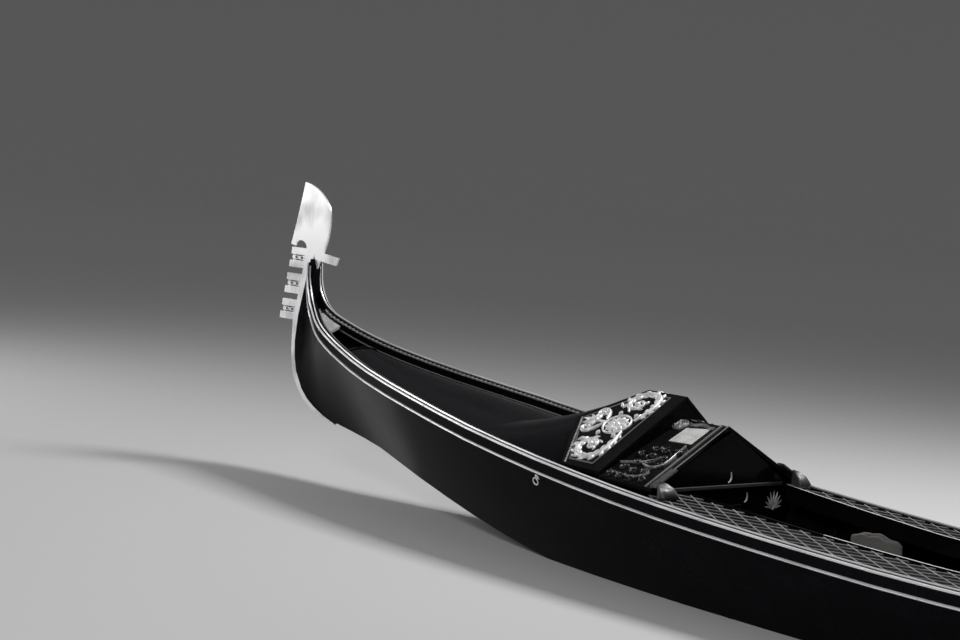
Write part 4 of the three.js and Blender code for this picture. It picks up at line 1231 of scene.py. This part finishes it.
def plank_ring(x, a, b, low, high):
    """A plank's section at x from a to b, with both upper edges cut."""
    side = high - PLANK_CUT
    return [(x, a, low), (x, b, low), (x, b, side), (x, b - PLANK_CUT, high), (x, a + PLANK_CUT, high),
            (x, a, side)]


def floor_planks():
    low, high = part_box("floorboards")
    port_line = section_table("floorboards", lambda section: section[np.argmax(section[:, 1])])
    starboard_line = section_table("floorboards", lambda section: section[np.argmin(section[:, 1])])
    shapes = Shapes()
    for i in range(PLANK_COUNT):
        rings = []
        for x in np.linspace(low[0] + END_GAP, high[0] - END_GAP, PLANK_STATIONS):
            port = np.interp(x, port_line[:, 0], port_line[:, 1])
            starboard = np.interp(x, starboard_line[:, 0], starboard_line[:, 1])
            a = starboard + (port - starboard) * i / PLANK_COUNT + SEAM / 2
            b = starboard + (port - starboard) * (i + 1) / PLANK_COUNT - SEAM / 2
            rings.append(plank_ring(x, a, b, low[2] + PLANK_SINK, high[2]))
        sweep_rings(shapes, rings)
    shapes.piece("floor_planks", black_wood, slot="black_wood", angle=25, replaces=["floorboards"])


floor_planks()

# %% [markdown]
# ## Seats
#
# The main seat has a shaped back with a carved edge and a buttoned leather panel. The back is a
# board cut to an outline, so its rim is a band that follows the outline, and the panel is a
# domed grid whose buttons pull it in.

# %% Shaped back of the main seat
BACK_FACE_X = -1.151
# The back's upper part lies above the first height; angles and insets are taken about the others
BACK_LOW_Z = 0.30
BACK_TURN_Z = 0.45
BACK_HEART_Z = 0.44
BACK_SCROLL = ((0.012, 0.640), (0.060, 0.646), (0.100, 0.618), (0.092, 0.590), (0.064, 0.592),
               (0.070, 0.610))
seat_face = Face((BACK_FACE_X, 0, 0), (0, 1, 0), (0, 0, 1), (1, 0, 0))


def back_outline():
    """Top outline of the seat back from one side to the other, and the back's middle."""
    points = node_points("main_seat_back")
    front = points[points[:, 0] > BACK_FACE_X - 0.004]
    upper = front[front[:, 2] > BACK_LOW_Z][:, 1:]
    middle = (upper[:, 0].min() + upper[:, 0].max()) / 2
    turn = np.arctan2(upper[:, 1] - BACK_TURN_Z, upper[:, 0] - middle)
    line = upper[np.argsort(turn)]
    firsts = np.unique(np.round(line, 4), axis=0, return_index=True)[1]
    return line[np.sort(firsts)], middle


def inset_line(line, middle, amount):
    heart = np.array([middle, BACK_HEART_Z])
    away = line - heart
    reach = np.linalg.norm(away, axis=1)[:, None]
    return heart + away * (reach - amount) / reach


outline, seat_middle = back_outline()
print("seat back outline points:", len(outline), "middle", round(float(seat_middle), 3))


def seat_carving():
    shapes = Shapes()
    rim = soft_line(inset_line(outline, seat_middle, 0.012), 70)
    ribbon(shapes, seat_face, rim, 0.0085, 0.008)
    inner = soft_line(inset_line(outline, seat_middle, 0.040), 60)
    ribbon(shapes, seat_face, inner, 0.003, 0.005)
    for sign in (-1, 1):
        path = soft_line([(seat_middle + sign * u, v) for u, v in BACK_SCROLL], 26)
        leafy_scroll(shapes, seat_face, path, 0.012, 0.020, (sign,), 3)
    rosette(shapes, seat_face, (seat_middle, 0.636), radius=0.020, height=0.009, petals=8)
    shapes.piece("seat_back_carving", brass)


seat_carving()

# %% Buttoned panel of the main seat
PANEL_LOW = 0.366
PANEL_HIGH = 0.572
PANEL_HALF = 0.205
PANEL_COLUMNS = 61
PANEL_ROWS = 37
PANEL_DOME = 0.018
PANEL_RUN = 0.014
PANEL_LIFT = 0.0004
PANEL_SINK = 0.004
BUTTON_PULL = 0.012
BUTTON_SPREAD = 0.00022
BUTTON_STEP = 0.068
# Height and sideways shift of each row of buttons
BUTTON_ROWS = ((0.415, 0.0), (0.47, 0.034), (0.525, 0.0))


def panel_point(y, z, buttons):
    """The leather domes up from its edge and is pulled in at each button."""
    edge = min(abs(abs(y - seat_middle) - PANEL_HALF), z - PANEL_LOW, PANEL_HIGH - z)
    lift = PANEL_DOME * (1 - math.exp(-max(edge, 0) / PANEL_RUN))
    pull = max(math.exp(-((y - by) ** 2 + (z - bz) ** 2) / BUTTON_SPREAD) for by, bz in buttons)
    return (BACK_FACE_X + max(lift - BUTTON_PULL * pull, 0.0) + PANEL_LIFT, y, z)


def closed_sheet(shapes, front, back, columns, rows):
    """A grid of front points and one of back points, closed to one skin."""
    count = len(front)
    corners = [j * columns + i for j in range(rows - 1) for i in range(columns - 1)]
    faces = [(a, a + 1, a + columns + 1, a + columns) for a in corners]
    faces += [tuple(i + count for i in reversed(face)) for face in faces]
    border = list(range(columns)) + [j * columns + columns - 1 for j in range(1, rows)]
    border += [(rows - 1) * columns + i for i in range(columns - 2, -1, -1)]
    border += [j * columns for j in range(rows - 2, 0, -1)]
    faces += [(a, b, b + count, a + count) for a, b in zip(border, border[1:] + border[:1])]
    shapes.add(front + back, faces)


def buttoned_panel():
    """A domed panel of leather on the seat back, drawn in by three rows of buttons."""
    across = np.arange(-2, 3) * BUTTON_STEP
    buttons = [(seat_middle + dx, z) for z, shift in BUTTON_ROWS for dx in across + shift]
    ys = seat_middle + np.linspace(-PANEL_HALF, PANEL_HALF, PANEL_COLUMNS)
    zs = np.linspace(PANEL_LOW, PANEL_HIGH, PANEL_ROWS)
    front = [panel_point(y, z, buttons) for z in zs for y in ys]
    back = [(BACK_FACE_X - PANEL_SINK, y, z) for _, y, z in front]
    leather = Shapes()
    closed_sheet(leather, front, back, PANEL_COLUMNS, PANEL_ROWS)
    panel = leather.piece("seat_back_panel", red_leather, slot="red_leather", angle=80)
    studs = Shapes()
    for y, z in buttons:
        if abs(y - seat_middle) < PANEL_HALF - 0.02:
            dome(studs, seat_face, (y, z), radius=0.0055, height=0.0125, sides=10)
    studs.piece("seat_back_buttons", red_leather, slot="red_leather")


buttoned_panel()

# %% [markdown]
# ## Cushions
#
# A cushion is air and filling held in by cloth, so the cloth solver makes its form: a thin
# rounded slab is blown up by pressure, with gravity off, and each point may move only so far. The
# result becomes plain mesh. Its underside stays flat on the seat, and a cord covers the seam.

# %% Blowing up a slab
CUSHION_VOXEL = 0.006
CORNER_SHARE = 0.34
SWELL_FRAMES = 20


def rounded_slab(name, low, high, inset, thickness, thin=2):
    """A slab inset from its room on all sides but one, where it has its thickness."""
    slab = bmesh.new()
    bmesh.ops.create_cube(slab, size=1.0)
    size = [high[i] - low[i] - 2 * inset for i in range(3)]
    size[thin] = thickness
    centre = [(low[i] + high[i]) / 2 for i in range(3)]
    for vertex in slab.verts:
        vertex.co = Vector([vertex.co[i] * size[i] + centre[i] for i in range(3)])
    corner = thickness * CORNER_SHARE
    bmesh.ops.bevel(slab, geom=slab.edges, offset=corner, segments=3, affect="EDGES", profile=0.5)
    data = bpy.data.meshes.new(name)
    slab.to_mesh(data)
    slab.free()
    piece = link_piece(name, data)
    voxels = piece.modifiers.new("even mesh", "REMESH")
    voxels.mode = "VOXEL"
    voxels.voxel_size = CUSHION_VOXEL
    return baked(piece)


def mesh_points(piece):
    points = np.empty(len(piece.data.vertices) * 3)
    piece.data.vertices.foreach_get("co", points)
    return points.reshape(-1, 3)


def blow_up(piece, cap):
    start = mesh_points(piece)
    settings = piece.modifiers.new("cloth", "CLOTH").settings
    settings.quality = 6
    settings.mass = 0.25
    settings.tension_stiffness = 14
    settings.compression_stiffness = 14
    settings.use_pressure = True
    settings.uniform_pressure_force = 4.0
    settings.effector_weights.gravity = 0.0
    last = SWELL_FRAMES
    for step in range(1, last + 1):
        bpy.context.scene.frame_set(step)
    baked(piece)
    bpy.context.scene.frame_set(1)
    move = mesh_points(piece) - start
    length = np.linalg.norm(move, axis=1)[:, None]
    return start + move * np.minimum(1.0, cap / np.maximum(length, 1e-6))


# %% Fitting a cushion to its room
SIDE_GAP = 0.004
UNDERSIDE_GAP = 0.0006
FLAT_BAND = 0.012
TUFT_DEPTH = 0.016
TUFT_SPREAD = 0.0011


def fit_cushion(points, low, high, tufts):
    """Brings the swollen form into its room, with a flat underside and tufts drawn in."""
    centre = (points.max(0) + points.min(0)) / 2
    reach = (points.max(0) - points.min(0)) / 2
    room = (np.array(high) - np.array(low)) / 2 - np.array([SIDE_GAP, SIDE_GAP, 0.0])
    fitted = (points - centre) * (room / reach) + (np.array(low) + np.array(high)) / 2
    flat = low[2] + UNDERSIDE_GAP
    near = fitted[:, 2] < flat + FLAT_BAND
    fitted[near, 2] = np.maximum(fitted[near, 2], flat)
    for x, y in tufts:
        away = (fitted[:, 0] - x) ** 2 + (fitted[:, 1] - y) ** 2
        upper = fitted[:, 2] > (low[2] + high[2]) / 2
        fitted[upper, 2] -= TUFT_DEPTH * np.exp(-away[upper] / TUFT_SPREAD)
    return fitted


def move_points(piece, points):
    piece.data.vertices.foreach_set("co", points.ravel())
    piece.data.update()


def finish_soft(piece, node, material):
    smooth(piece.data, 180)
    set_finish(piece.data, material)
    register(piece, replaces=[node])


def tuft_places(low, high, across, along):
    xs = np.linspace(low[0], high[0], along + 2)[1:-1]
    ys = np.linspace(low[1], high[1], across + 2)[1:-1]
    return [(x, y) for x in xs for y in ys]


def ray_surface(piece):
    vertices = [vertex.co for vertex in piece.data.vertices]
    return BVHTree.FromPolygons(vertices, [face.vertices for face in piece.data.polygons])


# %% Seam cord and buttons of a cushion
# The slab's gap to its room, its share of the room's height, and how far a point may swell
SLAB_INSET = 0.016
SLAB_SHARE = 0.66
SWELL_LIMIT = 0.024
SEAM_POINTS = 120
SEAM_LEVEL = 0.48
CORD_RADIUS = 0.0036


def seam_path(surface, low, high):
    """Where rays from all around meet the cushion's side at one height."""
    level = low[2] + (high[2] - low[2]) * SEAM_LEVEL
    centre = Vector(((low[0] + high[0]) / 2, (low[1] + high[1]) / 2, level))
    path = []
    for k in range(SEAM_POINTS):
        angle = math.tau * k / SEAM_POINTS
        away = Vector((math.cos(angle), math.sin(angle), 0.0))
        place, _, _, _ = surface.ray_cast(centre + away, -away)
        if place:
            path.append(place + away * 0.0005)
    return path


def seam_cord(shapes, path, radius):
    up = Vector((0.0, 0.0, 1.0))
    rings = []
    for i, place in enumerate(path):
        along = (path[(i + 1) % len(path)] - path[i - 1]).normalized()
        out = Vector((along.y, -along.x, 0.0)).normalized()
        rings.append([place + out * radius * math.cos(a) + up * radius * math.sin(a)
                      for a in np.linspace(0, math.tau, 8, endpoint=False)])
    sweep_rings(shapes, rings, closed=True)


def cushion(node, material, across, along, slot):
    low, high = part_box(node)
    thickness = (high[2] - low[2]) * SLAB_SHARE
    slab = rounded_slab(f"{node}_pad", low, high, SLAB_INSET, thickness)
    tufts = tuft_places(low, high, across, along)
    move_points(slab, fit_cushion(blow_up(slab, SWELL_LIMIT), low, high, tufts))
    rounder = slab.modifiers.new("soft", "SUBSURF")
    rounder.levels = 1
    rounder.render_levels = 1
    finish_soft(baked(slab), node, material)
    surface = ray_surface(slab)
    trim = Shapes()
    seam_cord(trim, seam_path(surface, low, high), CORD_RADIUS)
    for x, y in tufts:
        place, _, _, _ = surface.ray_cast(Vector((x, y, high[2] + 0.1)), Vector((0, 0, -1)))
        dome(trim, level_face(place.z), (x, y), radius=0.008, height=0.005, sides=12)
    trim.piece(f"{node}_trim", material, slot=slot)


cushion("main_seat_cushion", red_leather, across=3, along=3, slot="red_leather")
for side in SIDES:
    cushion(f"side_cushion_{side}", pale_cloth, across=1, along=4, slot="pale_cloth")

# %% [markdown]
# ## A pillow
#
# A pillow leans on the starboard coaming. Its cloth is the cushions' cloth painted darker, as painted
# shade for the shade it lies in. It is blown up like a cushion, only upright and without seam or
# buttons, and its top is then drawn to an uneven arch.

# %% The pillow
PILLOW_INSET = 0.012
PILLOW_THICKNESS = 0.024
PILLOW_SWELL = 0.014
PILLOW_ARCH = 0.38
PILLOW_CREASE = 0.05


def pillow(node, material):
    low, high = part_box(node)
    slab = rounded_slab(f"{node}_pad", low, high, PILLOW_INSET, PILLOW_THICKNESS, thin=1)
    points = blow_up(slab, PILLOW_SWELL)
    room = np.array(high) - np.array(low) - 0.002
    middle = (points.max(0) + points.min(0)) / 2
    fitted = (points - middle) * (room / (points.max(0) - points.min(0)))
    along = fitted[:, 0] / (room[0] / 2)
    share = fitted[:, 2] / room[2] + 0.5
    crease = PILLOW_CREASE * np.sin(5.0 * along + 0.7) ** 2
    fitted[:, 2] -= room[2] * share * (PILLOW_ARCH * along ** 2 + crease)
    move_points(slab, fitted + (np.array(low) + np.array(high)) / 2)
    finish_soft(slab, node, material)


pillow("pillow_starboard", shade_darkened_cloth)

# %% [markdown]
# ## Small fittings
#
# Hinges and ring pulls ride on the door and the hatch lid, so that they move with them. At the
# bow a short bar ties the gunwales, and a ring hangs on the port side below the strip.

# %% Tubes and rings
# No tube here runs along this direction, so each has a well-defined section
ODD_DIRECTION = Vector((0.13, 0.21, 0.97))


def tube(shapes, path, radius, sides=8, closed=False):
    path = [Vector(point) for point in path]
    rings = []
    for i, place in enumerate(path):
        before = path[i - 1] if (i or closed) else path[0]
        after = path[(i + 1) % len(path)] if (closed or i < len(path) - 1) else path[i]
        along = (after - before).normalized()
        side = along.cross(ODD_DIRECTION).normalized()
        other = along.cross(side).normalized()
        rings.append([place + (side * math.cos(a) + other * math.sin(a)) * radius
                      for a in np.linspace(0, math.tau, sides, endpoint=False)])
    sweep_rings(shapes, rings, closed)


def ring(shapes, centre, radius, thickness, first, second):
    """A ring around a centre, in the plane of two directions."""
    first = Vector(first).normalized()
    second = Vector(second).normalized()
    path = [Vector(centre) + first * radius * math.cos(a) + second * radius * math.sin(a)
            for a in np.linspace(0, math.tau, 24, endpoint=False)]
    tube(shapes, path, thickness, closed=True)


# %% Door fittings
PULL_RADIUS = 0.022
PULL_WIRE = 0.003
# The raised lines on the door: inset from its edges and half width
DOOR_LINES = ((0.040, 0.006), (0.058, 0.003))


def frame_line(shapes, face, width, height, inset, half):
    """A raised line that follows a board's edges at an inset."""
    right, top = width - inset, height - inset
    corners = [(inset, inset), (right, inset), (right, top), (inset, top)]
    for (u0, v0), (u1, v1) in zip(corners, corners[1:] + corners[:1]):
        path = [(u0 + (u1 - u0) * t, v0 + (v1 - v0) * t) for t in np.linspace(0, 1, 4)]
        ribbon(shapes, face, path, half, 0.004)


def door_fittings():
    """On the door's aft face: a raised frame, a ring pull on its plate, and two hinge leaves."""
    low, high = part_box("fore_locker_door")
    face = Face((low[0], high[1], low[2]), (ROOF_SKEW, -1, 0), (0, 0, 1), (-1, 0, 0))
    width = (high[1] - low[1]) * math.hypot(1, ROOF_SKEW)
    height = high[2] - low[2]
    mouldings = Shapes()
    for inset, half in DOOR_LINES:
        frame_line(mouldings, face, width, height, inset, half)
    mouldings.piece("door_mouldings", black_wood, body="fore_door", slot="black_wood")
    metal = Shapes()
    pull = width - 0.075
    dome(metal, face, (pull, height / 2 + 0.028), 0.013, 0.006)
    centre = face.at(pull, height / 2 + 0.006, 0.007)
    ring(metal, centre, PULL_RADIUS, PULL_WIRE, face.u_axis, face.v_axis)
    for v in (0.075, height - 0.075):
        hinge = [(0.006, v), (0.030, v), (0.060, v), (0.085, v)]
        ribbon(metal, face, hinge, [0.013, 0.012, 0.009, 0.002], 0.003)
    metal.piece("door_metal", brass, body="fore_door")


door_fittings()

# %% Hatch fittings
STRAP_SIDES = (-0.11, 0.16)
STRAP_PLACES = (0.395, 0.34, 0.28, 0.24)
RING_PLACE = 0.060
ON_TOP = 0.0005


def hatch_height(y):
    """Top of the hatch lid at y, from its own points."""
    points = node_points("aft_hatch")
    near = points[np.abs(points[:, 1] - y) < 0.09]
    return float(near[:, 2].max())


def hatch_fittings():
    """On the hatch lid: two strap hinges and a ring on its round plate."""
    low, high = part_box("aft_hatch")
    metal = Shapes()
    for y in STRAP_SIDES:
        top = level_face(hatch_height(y) + ON_TOP)
        strap = [(low[0] + place, y) for place in STRAP_PLACES]
        ribbon(metal, top, strap, [0.015, 0.013, 0.010, 0.002], 0.0035)
    middle = (low[1] + high[1]) / 2
    top = level_face(hatch_height(middle) + ON_TOP)
    x = low[0] + RING_PLACE
    dome(metal, top, (x, middle), 0.030, 0.003, 20)
    ring(metal, top.at(x, middle, 0.006), PULL_RADIUS, PULL_WIRE, (1, 0, 0), (0, 1, 0))
    metal.piece("hatch_metal", brass, body="aft_hatch_lid")


hatch_fittings()

# %% Bow fittings
TIE_BAR_X = 4.958
TIE_BAR_ENDS = (-0.026, 0.031)
RING_PLATE = (1.850, 0.7055, 0.482)


def bow_fittings():
    """The bar that ties the gunwales ahead of the pale plate, and the ring on the port side."""
    bar = Shapes()
    _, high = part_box("breasthook")
    path = [(TIE_BAR_X, y, high[2] + 0.006) for y in np.linspace(*TIE_BAR_ENDS, 5)]
    tube(bar, path, 0.0065, 10)
    bar.piece("bow_tie_bar", black_wood, slot="black_wood")
    hanger = Shapes()
    plate = Face(RING_PLATE, (1, 0.10, 0), (0.0, 0.48, 0.87), (0, 1, 0))
    dome(hanger, plate, (0.0, 0.0), 0.016, 0.007)
    centre = plate.at(0.0, 0.0, 0.012) - Vector((0, 0, 0.016))
    ring(hanger, centre, 0.019, 0.0035, (1, 0, 0), (0, 0.35, 0.94))
    hanger.piece("mooring_ring", polished_steel, slot="bright_strip")


bow_fittings()

# %% [markdown]
# ## Ends of the top strips
#
# At the stem's head the gunwale turns steeply upward. A thin strip on each side carries the
# bright line on, up to the bow iron's slot.

# %% Strips at the stem's head
HEAD_STRIP = {"start": 5.057, "end": 5.0895, "middle": 0.0388, "half_width": 0.005, "height": 0.004}
# The strip's section: shares of its half width and of its height
HEAD_SECTION = ((-1, -0.2), (-0.6, 1), (0.6, 1), (1, -0.2))


def head_strip(side):
    path = [sheer_point(side, x) for x in np.linspace(HEAD_STRIP["start"], HEAD_STRIP["end"], 9)]
    half, height = HEAD_STRIP["half_width"], HEAD_STRIP["height"]
    rings = []
    for before, place, after in zip(path[:1] + path, path, path[1:] + path[-1:]):
        out = Vector((before.z - after.z, 0.0, after.x - before.x)).normalized()
        middle = Vector((place.x, SIDES[side] * HEAD_STRIP["middle"], place.z))
        rings.append([middle + Vector((0, half * s, 0)) + out * height * h for s, h in HEAD_SECTION])
    shapes = Shapes()
    sweep_rings(shapes, rings)
    shapes.piece(f"head_strip_{side}", bright_strip, slot="bright_strip")


for side in SIDES:
    head_strip(side)

# %% [markdown]
# ## Bright ornaments on the bulkhead
#
# The black bulkhead carries a spray of narrow leaves near the starboard side, and a small hook
# above and below its rail. They are drawn on its aft face, which has the roof's skew.

# %% Spray and hooks
SPRAY = (0.385, 0.395)
HOOK_PLACES = ((-0.146, 0.466), (0.0, 0.575))
HOOK = [(-0.012, -0.026), (0.006, -0.018), (0.010, 0.002), (0.004, 0.026)]


def bulkhead_ornaments():
    points = node_points("fore_bulkhead")
    middle = points[np.abs(points[:, 1]) < 0.40]
    aft, start, _ = middle[np.argmin(middle[:, 0])]
    face = Face((aft, start, 0.0), (ROOF_SKEW, -1, 0), (0, 0, 1), (-1, 0, 0))
    stretch = math.hypot(1, ROOF_SKEW)
    spray = ((start + SPRAY[0]) * stretch, SPRAY[1])
    shapes = Shapes()
    for angle in range(10, 180, 20):
        length = 0.062 + 0.034 * math.sin(math.radians(angle))
        leaf(shapes, face, spray, angle, length, 0.014, 0.006, steps=7)
    dome(shapes, face, spray, 0.010, 0.008)
    for y, z in HOOK_PLACES:
        hook = soft_line(HOOK, 14) + np.array([(start - y) * stretch, z])
        ribbon(shapes, face, hook, 0.0045 * taper(14, 0.5, 0.3), 0.006)
    shapes.piece("bulkhead_ornaments", silver_leaf, slot="silver_carving")


bulkhead_ornaments()

# %% [markdown]
# ## Inlays on the bow iron's leaves
#
# Between the iron's teeth sit three flat leaves. Each gets a long dark wavy line along its upper
# and its lower edge, and two small rivets, on both faces.

# %% Dark lines and rivets
LEAF_GAPS = (0, 2, 4)
FIRST_TOOTH_TOP = 1.454
TOOTH_STEP = 0.0856
TOOTH_HEIGHT = 0.045
LEAF_BACK = 5.194
LEAF_LEAN = 0.0176
LEAF_HALF = 0.0025
INLAY_LEVEL = 0.0155
# The line's points: u, and the share of the level
INLAY_WAVE = ((0.004, 1.0), (0.036, 1.06), (0.068, 0.80), (0.100, 1.06), (0.138, 0.80))


def leaf_face(gap, side):
    """The port or starboard face of the leaf below a tooth: u runs forward, v runs up."""
    top = FIRST_TOOTH_TOP - TOOTH_STEP * gap - TOOTH_HEIGHT
    bottom = FIRST_TOOTH_TOP - TOOTH_STEP * (gap + 1)
    back = LEAF_BACK + LEAF_LEAN * (gap + 1)
    return Face((back, side * LEAF_HALF, (top + bottom) / 2), (1, 0, 0), (0, 0, 1), (0, side, 0))


def iron_inlays():
    inlay = Shapes()
    rivets = Shapes()
    for gap in LEAF_GAPS:
        for side in (1, -1):
            face = leaf_face(gap, side)
            for level in (INLAY_LEVEL, -INLAY_LEVEL):
                path = soft_line([(u, level * share) for u, share in INLAY_WAVE], 24)
                ribbon(inlay, face, path, 0.0034 * taper(24, 0.3, 0.2, 1.0), 0.0012)
            for u in (0.008, 0.080):
                dome(rivets, face, (u, 0.0), 0.0045, 0.0022, 10)
    inlay.piece("iron_inlays", black_wood, slot="black_wood")
    rivets.piece("iron_rivets", bright_strip, slot="bright_strip")


iron_inlays()

# %% [markdown]
# ## The oarlock
#
# The oarlock is a carved post of walnut, rounded by hand. Its flat solid gets a wide rounded
# edge, and the grain runs up the post.

# %% Rounded oarlock
OARLOCK_ROUNDING = 9.0
oarlock = finished_copy("oarlock", walnut, OARLOCK_ROUNDING, angle=40.0, segments=4)
print(oarlock.name, "faces:", len(oarlock.data.polygons))
